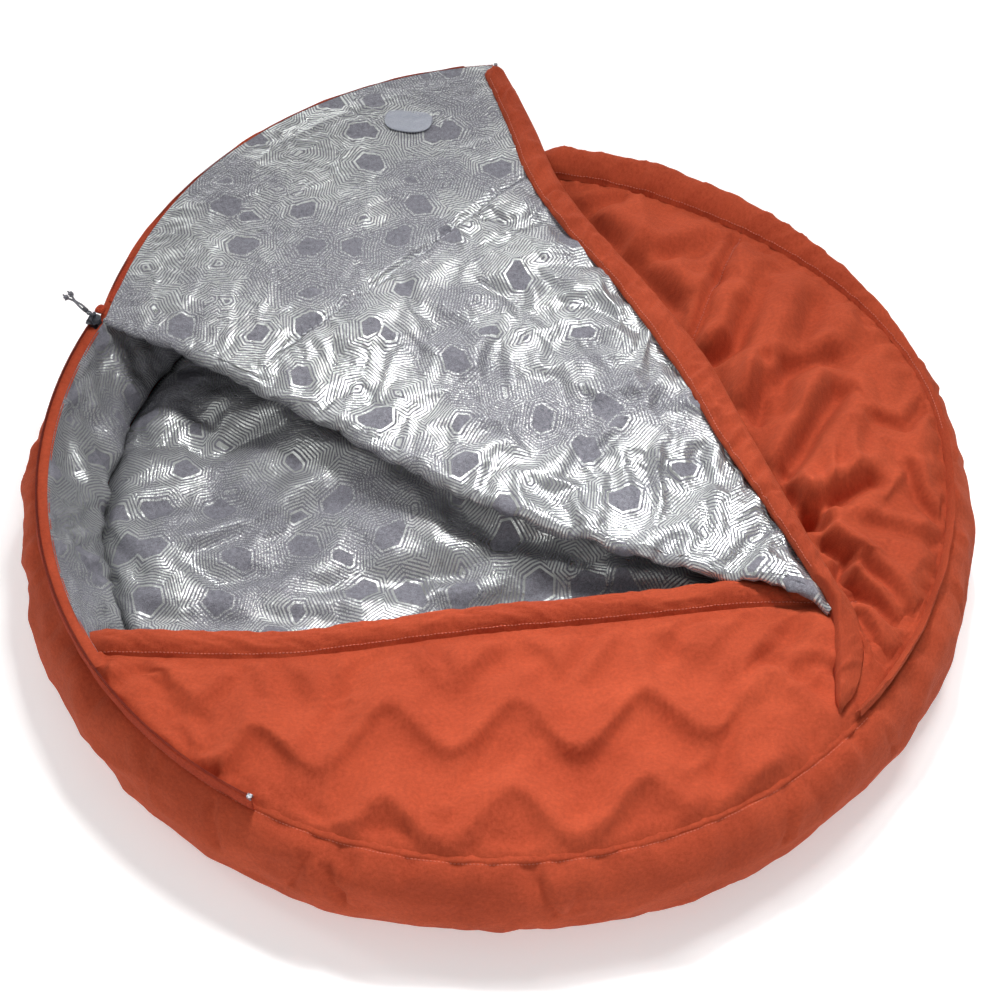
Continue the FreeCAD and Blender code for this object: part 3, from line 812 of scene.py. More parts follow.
def floor_cushion():
    """Padded floor: crowned, with a tight crease where it meets the side lining."""
    n = int(2 * FLOOR_RADIUS / CELL)
    a, b = np.meshgrid(np.linspace(-1.0, 1.0, n), np.linspace(-1.0, 1.0, n))
    x = a * np.sqrt(1 - b * b / 2) * (FLOOR_RADIUS - 1.0)
    y = b * np.sqrt(1 - a * a / 2) * (FLOOR_RADIUS - 1.0)
    inside = FLOOR_RADIUS - np.hypot(x, y)
    crown = FLOOR_TOP - 12.0 + 22.0 * (1 - np.exp(-np.maximum(inside, 0) / 17.0)) + 4.0 * smooth(20, 300, inside)
    edge = smooth(2.0, 40.0, inside)
    folds = creases(x, y, FLOOR_CREASES)
    rumple = 3.0 * ripples(x, y, 95.0, 41) + 3.2 * (wrinkles(x, y, 90.0, 43, 8.0, 2.2) - 0.4)
    along = (x - FOLD_START[0]) / (FOLD_END[0] - FOLD_START[0])
    to_edge = y - (FOLD_START[1] + (FOLD_END[1] - FOLD_START[1]) * along)
    rise = 30.0 * smooth(-130.0, 25.0, to_edge) * smooth(0.0, 0.45, along)
    z = crown + edge * (folds + rumple) + rise * smooth(0.0, 110.0, inside)
    points = np.stack([x, y, z], -1)
    piece = sheet("floor_cushion", points, points[..., :2].copy(), SILVER)
    settle(piece, smooth(14.0, 4.0, inside).ravel(), 0.045, 0.3, 6.5, 2.0, 20)
    return on_base(piece, "reflective_lining", "floor_lining", "floor_fill")


# ---- front cover ----
def hem_line(x, back=0.0):
    """Mouth edge of the front cover: a chord that sags a little left of its middle. back moves it towards the rim."""
    slope = (HEM_RIGHT[1] - HEM_LEFT[1]) / (HEM_RIGHT[0] - HEM_LEFT[0])
    y = HEM_LEFT[1] + slope * (x - HEM_LEFT[0])
    return y - 15.0 * bump_at(x, -190.0, 130.0) + 9.0 * bump_at(x, 240.0, 110.0) - back


def chord_span(back, radius):
    """Where the hem line, moved back, meets the rim."""
    span = []
    for guess, step in ((-radius, 0.5), (radius, -0.5)):
        x = guess
        while x * x + hem_line(x, back) ** 2 > radius * radius:
            x += step
        span.append(float(x))
    return span


def front_relief(x, y):
    """Zigzag channels pressed into the padding, with soft pulls."""
    tooth = np.abs(((x - 16.0) / 114.0 + 0.5) % 1.0 - 0.5) * 2.0
    soft = smooth(0.0, 1.0, tooth) * 0.75 + tooth * 0.25
    drift = 14.0 * ripples(x, y, 170.0, 51, 2)
    crest = -294.0 + 0.12 * x - 52.0 * soft + drift
    row = (crest - y) / 95.0
    part = row - np.floor(row)
    saw = 1.35 * (np.exp(-part / 0.15) + part ** 1.6) - 0.35
    strength = 0.65 + 0.6 * smooth(-0.5, 0.6, ripples(x, y, 130.0, 58, 2))
    height = 15.0 * (saw - 0.5) * strength * smooth(-1.05, -0.7, row) * smooth(330.0, 230.0, x)
    pulls = creases(x, y, [
        ([(277, -206), (246, -239), (213, -273), (198, -324), (193, -362)], 7.0, 12.0),
        ([(-154, -251), (-144, -290), (-132, -251)], 4.0, 9.0), ([(244, -241), (285, -275)], 5.0, 11.0),
        ([(287, -250), (310, -262)], 6.0, 8.0), ([(-340, -236), (-290, -280), (-262, -310)], 3.0, 9.0),
        ([(-60, -235), (-45, -262)], 3.5, 8.0), ([(90, -215), (70, -250)], 3.5, 9.0),
        ([(180, -200), (150, -245)], 3.5, 9.0), ([(-230, -255), (-215, -285)], 3.0, 8.0),
    ])
    rumple = 2.0 * ripples(x, y, 60.0, 53) + 3.6 * (wrinkles(x, y, 75.0, 55, 65.0, 1.6) - 0.4)
    rumple = rumple + 1.5 * (wrinkles(x, y, 30.0, 56, 75.0, 1.9) - 0.35)
    return height + 1.3 * pulls + rumple


def front_cover():
    back = HEM_WIDTH - 14.0
    rim = SEAM_RADIUS - 1.0
    left, right = chord_span(back, rim)
    cols = int((right - left) / 4.2)
    rows = int(240.0 / 4.2)
    across, part = np.meshgrid(np.linspace(0.0, 1.0, cols), np.linspace(0.0, 1.0, rows))
    hem_x = left + (right - left) * across
    hem_y = hem_line(hem_x, back)
    start = heading((left, hem_line(left, back))) % 360.0
    end = 360.0 + heading((right, hem_line(right, back)))
    degrees = start + (end - start) * across
    edge = polar(rim, degrees)
    x = hem_x + (edge[..., 0] - hem_x) * part
    y = hem_y + (edge[..., 1] - hem_y) * part
    inside = rim - np.hypot(x, y)
    from_hem = hem_line(x, HEM_WIDTH - 4.0) - y
    seam = seam_height(np.degrees(np.arctan2(y, x)))
    low_z = seam + 1.0 + (FRONT_TOP - 5.0 - seam) * smooth(0, 60, inside) - 3.0 * smooth(0.0, -9.0, from_hem)
    puff = 11.0 * (1 - np.exp(-np.maximum(inside, 0) / 11.0)) * smooth(0.0, 26.0, from_hem) ** 0.7
    fade = smooth(1.0, 16.0, inside) * smooth(0.0, 20.0, from_hem)
    pucker = 3.4 * ripples(np.radians(degrees) * rim, inside * 0.3, 17.0, 57, 2) * bump_at(inside, 9.0, 9.0)
    pucker = pucker + 1.8 * ripples(x, from_hem * 0.3, 17.0, 52, 2) * bump_at(from_hem, 10.0, 9.0)
    z = low_z + puff + front_relief(x, y) * fade + pucker
    points = np.stack([x, y, z], -1)
    piece = sheet("front_cover_top", points, points[..., :2].copy(), RUST, flip=True)
    pinned = np.maximum(smooth(5.0, 1.0, inside), smooth(6.0, 2.0, from_hem))
    settle(piece, pinned.ravel(), 0.02, 0.9, 4.0, 6.0, 16)
    on_base(piece, "shell_cloth", "front_cover_shell", "front_cover_fill")
    low_side = np.minimum(FRONT_LOW + 1.5 * ripples(x, y, 70.0, 59), z - 9.0)
    under = np.stack([x, y, low_side], -1)[::2, ::2]
    lining = sheet("front_cover_ceiling", under, under[..., :2].copy(), SILVER)
    on_base(lining, "reflective_lining", "front_cover_lining")
    return piece


def front_hem():
    """Turned hem along the mouth edge: a soft flattened tube that ends at its stitched line."""
    left, right = chord_span(0.0, SEAM_RADIUS - 0.5)
    cols = int((right - left) / 3.5)
    x = np.linspace(left, right, cols)
    t = np.linspace(0.0, 1.0, 22)
    round_part = np.clip(t / 0.42, 0, 1) * np.pi
    over_part = np.clip((t - 0.42) / 0.58, 0, 1)
    back = 7.0 - 7.0 * np.sin(round_part) + (HEM_WIDTH - 10.0) * over_part
    height = -6.5 * np.cos(round_part)
    xx, bb = np.meshgrid(x, back)
    _, hh = np.meshgrid(x, height)
    over = np.meshgrid(x, t)[1]
    arc = xx
    lean = 2.2 * wrinkles(arc - bb * 0.9, bb * 2.5, 30.0, 61, 60.0, 2.0) + 2.4 * ripples(arc, bb, 85.0, 63)
    loft = FRONT_TOP - 4.5 + 6.5 * smooth(0, 40, xx - left) - 8.5 * smooth(215.0, 290.0, xx)
    loft = loft - 3.0 * bump_at(xx, -180.0, 90.0)
    groove = smooth(1.0, 0.80, over)
    over_top = np.clip((over - 0.42) / 0.58, 0, 1)
    crest = loft + 6.5 + 1.5 * np.sin(np.pi * over_top)
    y = hem_line(xx, bb) + 1.6 * ripples(arc, arc * 0, 60.0, 65) * (1 - over)
    z = np.where(over > 0.42, crest + (FRONT_TOP - 4.4 - crest) * over_top ** 2.6, loft + hh)
    z = z + (lean - 1.0) * groove * smooth(0.0, 0.3, over)
    points = np.stack([xx, y, z], -1)
    points[..., :2] *= np.minimum(1.0, (SEAM_RADIUS - 0.5) / np.hypot(points[..., 0], points[..., 1]))[..., None]
    piece = sheet("front_hem_roll", points, np.stack([arc, over * 50.0], -1), RUST_BINDING, flip=True)
    on_base(piece, "shell_cloth", "front_hem")
    return piece


def rim_binding():
    """Narrow sewn seam round the front between wall and cover."""
    start = ZIP_END_DEG - 1.0
    end = 360.0 + BAND_START_DEG + 1.0
    cols = int(math.radians(end - start) * SEAM_RADIUS / 3.5)
    degrees, t = np.meshgrid(np.linspace(start, end, cols), np.linspace(0.0, 1.0, 9))
    swing = np.pi * (1.0 - t)
    arc = np.radians(degrees) * SEAM_RADIUS
    ripple = 0.6 * ripples(arc, arc * 0, 12.0, 71, 2)
    r = SEAM_RADIUS - 1.5 + 4.2 * np.cos(swing) + 0.6 * ripples(arc, arc * 0, 40.0, 73)
    z = seam_height(degrees) + 0.2 + (2.6 + ripple) * np.sin(swing) - 1.4 * t
    piece = sheet("front_rim_seam", polar(r, degrees, z), np.stack([arc, t * 12.0], -1), RUST_BINDING)
    return on_base(piece, "shell_cloth", "front_rim_binding")


# ---- rear cover ----
def hem_outline(count, outer=True):
    """Outer or inner edge of the flap's hem in plan, from the flap's corner over the fold to the mouth corner."""
    corner = FOLD_END[:2]
    start = FLAP_CORNER[:2] + np.array([9.0, 2.0])
    over_fold = AXIS_END[:2] + np.array([21.0, 0.0])
    bow = ((0.08, -4.0), (0.2, -11.0), (0.33, -21.0), (0.47, -17.0), (0.62, -2.0), (0.8, 9.0), (0.93, 5.0))
    line = [start] + [start + (over_fold - start) * t + np.array([shift, 0.0]) for t, shift in bow]
    line = line + [corner + np.array([-19.0, 86.0]), corner + np.array([1.0, 28.0])]
    curve = through(line, count, 4)
    ahead = unit(np.gradient(curve, axis=0))
    right = np.stack([ahead[:, 1], -ahead[:, 0]], -1)
    part = np.linspace(0.0, 1.0, count)
    width = np.interp(part, (0.0, 0.08, 0.2, 0.45, 0.6, 0.74, 0.86, 1.0), (25.0, 28.0, 32.0, 31.0, 37.0, 34.0, 25.0, 17.0))
    return curve if outer else curve + right * width[:, None]


def right_of_hem(x, y):
    """Signed distance to the outer edge of the hem: positive over the open part of the rear cover."""
    curve = hem_outline(40)
    best = np.full(np.shape(x), 1e9)
    signed = np.zeros(np.shape(x))
    for (x0, y0), (x1, y1) in zip(curve, curve[1:]):
        dx = x1 - x0
        dy = y1 - y0
        t = np.clip(((x - x0) * dx + (y - y0) * dy) / (dx * dx + dy * dy), 0.0, 1.0)
        away = np.hypot(x - x0 - t * dx, y - y0 - t * dy)
        side = np.sign(dx * (y - y0) - dy * (x - x0))
        signed = np.where(away < best, away * side, signed)
        best = np.minimum(best, away)
    return signed


REAR_CREASES = [
    ([(260, 40), (266, 75), (272, 112)], 9.0, 9.0), ([(284, -24), (314, 24), (341, 70)], 14.0, 13.0),
    ([(281, 55), (307, 130), (332, 190)], 9.0, 16.0), ([(296, -84), (327, -65), (358, -48)], 13.0, 11.0),
    ([(278, -48), (292, -74), (308, -95)], 10.0, 9.0), ([(322, -165), (340, -182), (362, -206)], 9.0, 9.0),
    ([(334, -138), (358, -166), (394, -236)], 7.0, 8.0), ([(312, -118), (326, -132), (322, -150)], 11.0, 8.0),
    ([(376, 34), (404, 25), (432, 62)], 5.0, 8.0), ([(398, -32), (402, -62), (416, -86)], 6.0, 8.0),
    ([(103, 318), (156, 262), (204, 269), (237, 286)], 7.0, 14.0), ([(130, 268), (160, 235), (182, 200)], 7.0, 12.0),
    ([(206, 122), (246, 142), (276, 214)], 8.0, 12.0), ([(250, 52), (296, 104), (340, 122)], 7.0, 12.0),
    ([(331, -205), (346, -245)], 6.0, 7.0), ([(352, -100), (385, -110), (410, -118)], 4.0, 9.0),
    ([(230, 230), (262, 220), (292, 238)], 4.0, 13.0), ([(60, 352), (95, 345), (130, 360)], 5.0, 12.0),
    ([(226, 130), (246, 150), (250, 185)], 6.0, 10.0), ([(342, 112), (368, 130), (380, 165)], 4.0, 12.0),
]
REAR_SEAM = [(197.0, 144.0), (262.0, 308.0)]


def band_inner(degrees):
    """The band's inner seam: it closes in on the rim towards the mouth."""
    return BAND_INNER - 9.0 + (SEAM_RADIUS + 3.0 - BAND_INNER) * smooth(62.0, 3.0, degrees)


def rear_height(x, y):
    degrees = np.degrees(np.arctan2(y, x))
    inside = band_inner(degrees) + 1.0 - np.hypot(x, y)
    open_part = smooth(-24.0, 26.0, right_of_hem(x, y))
    puff = (12.0 * open_part - 1.0) * (1 - np.exp(-np.maximum(inside, 0) / 20.0))
    folds = 1.8 * creases(x, y, REAR_CREASES) * open_part
    away = np.hypot(x - FOLD_END[0], y - FOLD_END[1])
    turn = np.degrees(np.arctan2(y - FOLD_END[1], x - FOLD_END[0]))
    fan = 8.5 * (wrinkles(turn * 4.2, away * 0.42, 84.0, 88, 0.0, 1.0) - 0.4) * smooth(90, 190, away)
    rumple = 3.5 * ripples(x, y, 85.0, 81) + fan + 2.0 * (wrinkles(x, y, 60.0, 83, 60.0, 1.7) - 0.35)
    rumple = rumple * open_part
    seam = crease(x, y, REAR_SEAM, 12.0, 7.0, 0.45) * open_part
    shadow = -13.0 * bump_at(right_of_hem(x, y), 5.0, 22.0)
    drop = -9.0 * smooth(10.0, -12.0, degrees) * smooth(26.0, 0.0, inside)
    pucker = 2.6 * ripples(np.arctan2(y, x) * BAND_INNER, inside * 0.3, 15.0, 85, 2) * bump_at(inside, 9.0, 9.0)
    edge = smooth(0.0, 16.0, inside)
    return REAR_TOP - 1.2 + puff + drop + (folds + rumple + seam + shadow) * edge + pucker * open_part


def rear_cover():
    sweep_deg = ZIP_START_DEG - 2.0 - BAND_START_DEG
    cols = int(math.radians(sweep_deg) * BAND_INNER / (CELL + 0.5))
    degrees, part = np.meshgrid(np.linspace(BAND_START_DEG - 0.5, ZIP_START_DEG - 2.0, cols), np.linspace(0, 1, 130))
    part = 0.02 + 0.98 * part
    rim = band_inner(degrees) + 1.5
    edge = polar(rim, degrees)
    behind = smooth(-15.0, 60.0, degrees)
    corner_x = FOLD_END[0] + 6.0 - 8.0 * behind
    corner_y = FOLD_END[1] - 14.0 + 42.0 * behind
    x = corner_x + (edge[..., 0] - corner_x) * part
    y = corner_y + (edge[..., 1] - corner_y) * part
    z = rear_height(x, y)
    points = np.stack([x, y, z], -1)
    piece = sheet("rear_cover_top", points, points[..., :2].copy(), RUST, flip=True)
    inside = rim - np.hypot(x, y)
    hidden = smooth(-8.0, -34.0, right_of_hem(x, y))
    pinned = np.maximum(np.maximum(smooth(5.0, 1.0, inside), hidden), part < 0.05)
    settle(piece, pinned.ravel(), 0.03, 0.9, 5.0, 6.0, 16)
    on_base(piece, "shell_cloth", "rear_shell_left", "rear_shell_right", "rear_cover_fill", "rear_hem")
    low_z = np.minimum(REAR_LOW + 1.5 * ripples(x, y, 70.0, 87), z - 9.0)
    under = np.stack([x, y, low_z], -1)[::3, ::2]
    lining = sheet("rear_cover_ceiling", under, under[..., :2].copy(), SILVER)
    on_base(lining, "reflective_lining", "rear_cover_lining")
    return piece


def rim_band():
    """Sewn edge band of the rear cover, rolled over to the wall seam."""
    start = BAND_START_DEG - 1.0
    end = ZIP_START_DEG - 1.5
    cols = int(math.radians(end - start) * SEAM_RADIUS / 4.0)
    degrees, t = np.meshgrid(np.linspace(start, end, cols), np.linspace(0.0, 1.0, 22))
    arc = np.radians(degrees) * SEAM_RADIUS
    inner = band_inner(degrees)
    width = SEAM_RADIUS + 0.5 - inner
    open_part = smooth(-30.0, 12.0, right_of_hem(*(inner * f(np.radians(degrees)) for f in (np.cos, np.sin))))
    r = inner - 0.5 + width * (t ** 0.92) + 3.0 * open_part * np.sin(np.pi * t)
    top = REAR_TOP - 0.5 + (WALL_TOP + 0.5 - REAR_TOP) * smooth(0.5, 1.0, t) ** 1.2
    top = top - 9.0 * smooth(10.0, -12.0, degrees) * (1 - t)
    crown = (3.0 + 0.42 * width * open_part) * np.sin(np.pi * np.clip(t * 1.02, 0, 1)) ** 0.65
    pull = ripples(arc, t * 6.0, 20.0, 91, 2)
    lean = wrinkles(arc + t * 26.0, t * 22.0, 34.0, 93, 80.0, 1.6)
    marks = 2.8 * pull * bump_at(t, 0.16, 0.18) + 2.8 * (lean - 0.4)
    z = top + crown + marks * smooth(0, 0.1, t) * smooth(1, 0.85, t) * np.minimum(1.0, width / 30.0)
    r = r + 1.6 * ripples(arc, arc * 0, 70.0, 95) * smooth(0.0, 0.5, t) * smooth(1.02, 0.9, t)
    points = polar(r, degrees, z)
    piece = sheet("rear_rim_roll", points, np.stack([arc, t * 42.0], -1), RUST_BINDING)
    return on_base(piece, "shell_cloth", "rear_rim_band")


# ---- folded edge and flap ----
FOLD_WANDER = [(0.0, 0.0), (0.07, 14.0), (0.17, 2.0), (0.30, -9.0), (0.43, -15.0), (0.56, -8.0), (0.67, 1.0),
               (0.86, 8.0), (1.0, 0.0)]


def fold_edge(part):
    """The folded edge in plan, from the mouth corner (0) to the sewn end of the zip (1)."""
    start = FOLD_END[:2] + np.array([-8.0, 0.0])
    end = FOLD_START[:2] + np.array([9.0, 8.0])
    ahead = unit(end - start)
    behind = np.array([ahead[1], -ahead[0]])
    wander = through(FOLD_WANDER, 200, 4)
    shift = np.interp(part, wander[:, 0], wander[:, 1])
    return start + (end - start) * part[..., None] + behind * shift[..., None]


LINING_SEAM = [(-222.0, 122.0), (-110.0, 226.0), (-2.0, 340.0), (30.0, 372.0)]


def flap_top(x, y):
    """Height of the folded-back lining: it passes through the fold axis."""
    u = behind_fold(np.stack([x, y, np.zeros_like(x)], -1))
    rise = math.tan(math.radians(2.5))
    level = FOLD_START[2] + np.where(u > 0, u * rise + 2.0 * smooth(0, 40, u), 5.0 * np.maximum(u, -60.0) / 60.0)
    from_corner = np.hypot(x - FLAP_CORNER[0], y - FLAP_CORNER[1])
    level = level - 3.0 * smooth(60.0, 0.0, from_corner)
    level = level + 5.0 * smooth(150.0, 30.0, np.hypot(x - FOLD_END[0], y - FOLD_END[1]))
    busy = 0.3 + 1.1 * smooth(280.0, 10.0, u) * smooth(-250.0, 180.0, x)
    folds = creases(x, y, [
        ([(-182, 40), (-199, 95), (-214, 136)], 5.0, 10.0), ([(-182, 40), (-148, 72), (-122, 52)], 5.0, 10.0),
        ([(105, -7), (110, -57)], 5.0, 9.0), ([(141, -18), (143, -80)], 6.0, 9.0), ([(158, -35), (182, -66)], 5.0, 8.0),
        ([(197, -7), (194, -103)], 6.0, 9.0), ([(45, -58), (74, -100)], 5.0, 9.0), ([(249, -110), (219, -150)], 7.0, 8.0),
        ([(30, 300), (42, 240), (60, 180)], 4.0, 14.0), ([(-20, 60), (10, 130), (5, 190)], 4.0, 15.0),
        ([(-330, 165), (-260, 158), (-205, 170)], 3.5, 16.0), ([(-90, 90), (-60, 150)], 3.5, 14.0),
        ([(120, 60), (100, 130)], 4.5, 12.0), ([(170, 20), (150, 80)], 4.0, 10.0),
    ])
    seam = crease(x, y, LINING_SEAM, 3.2, 5.0, 0.3)
    fine = wrinkles(x, y, 55.0, 101, 75.0, 2.0) - 0.4
    rumple = 2.5 * ripples(x, y, 110.0, 103) + 4.5 * busy * fine
    hold = smooth(0.0, 30.0, np.abs(u))  # the axis line itself stays level
    height = level + (folds * busy + rumple) * (0.25 + 0.75 * hold) + seam
    floor_z = REAR_TOP + 2.0
    return np.where(u < 30.0, floor_z + np.logaddexp(0.0, (height - floor_z) / 2.0) * 2.0, height)


def flap_edge(part, outwards):
    """The flap's zip edge at rest: part 0 at its sewn end, 1 at its free corner."""
    sweep_deg = 1.5 + part * (ZIP_SWEEP_DEG - 3.0)
    return flap_zip_point(sweep_deg, outwards)


def flap_lining():
    """Lining of the folded-back lip and flap as one cloth: rays fan out from the mouth corner to the zip edge,
    and the first rows roll round the folded edge to the underside."""
    rays = 150
    steps = 165
    roll_rows = 12
    b = np.linspace(0.015, 1.0, steps)
    a = np.linspace(0.0, 1.0, rays)
    part = np.clip((a - 0.03) / 0.97, 0, 1)
    outwards = -14.0 + 3.0 * smooth(0.0, 0.06, part) + 6.5 * smooth(0.03, 0.45, part)
    zip_side = flap_edge(part, outwards)
    outer = zip_side[:, :2].copy()
    base_edge = fold_edge(b)
    first = fold_edge(np.array([1.0]))[0]
    outer = outer + (first - outer[0]) * smooth(0.12, 0.0, a)[:, None]
    hem = hem_outline(400, outer=False)[::-1]
    corner = hem[0]
    hem_steps = np.linalg.norm(hem - corner, axis=1) / np.linalg.norm(hem[-1] - corner)
    last_ray = np.stack([np.interp(b, hem_steps, hem[:, k]) for k in (0, 1)], -1)
    outer[-1] = last_ray[-1]
    straight = corner + b[None, :, None] * (outer[:, None] - corner)
    first_fix = (base_edge - straight[0])[None] * ((1 - a) ** 3)[:, None, None]
    last_fix = (last_ray - straight[-1])[None] * (a ** 3)[:, None, None]
    plan = straight + first_fix + last_fix
    near_corner = np.exp(-(np.linalg.norm(plan - corner, axis=-1, keepdims=True) / 45.0) ** 2)
    plan = plan + near_corner * np.array([14.0, -3.0])  # the corner is tucked under the pleat
    x = plan[..., 0]
    y = plan[..., 1]
    z = flap_top(x, y)
    run_in = 1 - (1 - smooth(0.955, 1.0, b)) ** 2
    z = z + (zip_side[:, 2:] + 1.6 - z) * run_in[None] * smooth(0.0, 0.08, a)[:, None]
    z = z - 3.0 * smooth(0.98, 1.0, a)[:, None] - 5.0 * near_corner[..., 0] ** 3
    top = np.stack([x, y, z], -1)
    ahead = unit(np.gradient(top[0], axis=0) * np.array([1, 1, 0]))
    out = np.stack([-ahead[:, 1], ahead[:, 0], np.zeros(steps)], -1)
    if (out[steps // 2] @ FOLD_SIDE) > 0:
        out = -out
    radius = ROLL_RADIUS * (np.sin(np.pi * np.clip(b, 0.04, 0.985)) ** 0.3) * (1 + 0.18 * ripples(b * 760.0, b * 0, 60.0, 111))
    swing = np.linspace(np.pi * 1.05, 0.0, roll_rows, endpoint=False)
    down = np.array([0.0, 0.0, -1.0])
    roll = (top[0][None] + out[None] * (radius[None, :] * np.sin(swing)[:, None])[..., None]
            + down * (radius[None, :] * (1 - np.cos(swing))[:, None])[..., None])
    points = np.concatenate([roll, top], 0)
    uv_top = plan
    girth = (radius[None, :] * swing[:, None])[..., None]
    uv_roll = plan[0][None] + out[None, :, :2] * girth
    uv = np.concatenate([uv_roll, uv_top], 0)
    piece = sheet("flap_lining_sheet", points, uv, SILVER, flip=True)
    row = np.concatenate([np.zeros(roll_rows), np.arange(rays)])
    pinned = np.zeros(points.shape[:2])
    pinned[:2] = 1.0
    pinned[-2:] = 1.0
    pinned[:, -2:] = 1.0
    pinned[:, :6] = 1.0
    u = behind_fold(points)
    pinned = np.maximum(pinned, 0.3 * bump_at(u, 0.0, 14.0))
    start = np.array(LINING_SEAM[0])
    ahead = unit(np.array(LINING_SEAM[-1]) - start)
    beyond = (points[..., 1] - start[1]) * ahead[0] - (points[..., 0] - start[0]) * ahead[1]
    pinned = np.maximum(pinned, 0.4 * smooth(-20.0, 30.0, beyond))
    settle(piece, pinned.ravel(), 0.045, 0.35, 6.5, 0.8, 20)
    on_fold(piece, "reflective_lining", 0.0, 12.0, "flap_lining", "flap_fill", "fold_lip_lining")
    return piece


def flap_shell():
    """Shell cloth on the flap's underside while it is folded back, and its outside while it is zipped."""
    edge = through([p for p in flap_edge(np.linspace(0.0, 1.0, 24), -2.0)[:, :2]], 500, 2)
    u_edge = (edge - FOLD_START[:2]) @ FOLD_SIDE[:2]
    v_edge = (edge - FOLD_START[:2]) @ FOLD_AXIS[:2]
    hem = hem_outline(500) - np.array([6.0, 0.0])
    u_hem = (hem - FOLD_START[:2]) @ FOLD_SIDE[:2]
    v_hem = (hem - FOLD_START[:2]) @ FOLD_AXIS[:2]
    order = np.argsort(u_hem)
    reach = min(u_edge.max(), u_hem.max()) - 1.0
    u = np.concatenate([np.linspace(-4.0, 24.0, 16), np.linspace(29.0, reach, 84)])
    left = np.interp(u, np.maximum.accumulate(u_edge), v_edge)
    right = np.interp(u, u_hem[order], v_hem[order])
    across = np.linspace(0.0, 1.0, 120)
    v = left[:, None] + (right - left)[:, None] * across
    edge_plan = fold_edge(np.linspace(0.0, 1.0, 200)) - FOLD_START[:2]
    edge_u = np.interp(v[0], (edge_plan @ FOLD_AXIS[:2])[::-1], (edge_plan @ FOLD_SIDE[:2])[::-1])
    begin = np.clip(edge_u + 7.0, -4.0, 10.0)
    u = u[:, None] + (begin + 4.0)[None] * smooth(30.0, -4.0, u)[:, None]
    plan = FOLD_START[:2] + u[..., None] * FOLD_SIDE[:2] + v[..., None] * FOLD_AXIS[:2]
    x = plan[..., 0]
    y = plan[..., 1]
    uu = u
    rise = math.tan(math.radians(2.5))
    rim = np.minimum(across, 1 - across)[None] * (right - left)[:, None]
    belly = 2.5 * (1 - np.exp(-rim / 25.0))
    z = FLAP_LOW + 3.5 + uu * rise - belly
    z = z - smooth(20, 80, uu) * (1.5 * (wrinkles(x, y, 80.0, 121, 40.0, 1.5) - 0.3) + 1.2 * ripples(x, y, 60.0, 123))
    z = z + 4.0 * np.exp(-rim / 6.0)
    points = np.stack([x, y, z], -1)
    piece = sheet("flap_shell_sheet", points, plan.copy(), RUST)
    on_fold(piece, "shell_cloth", 0.0, 16.0, "flap_shell", "fold_lip_shell")
    return piece


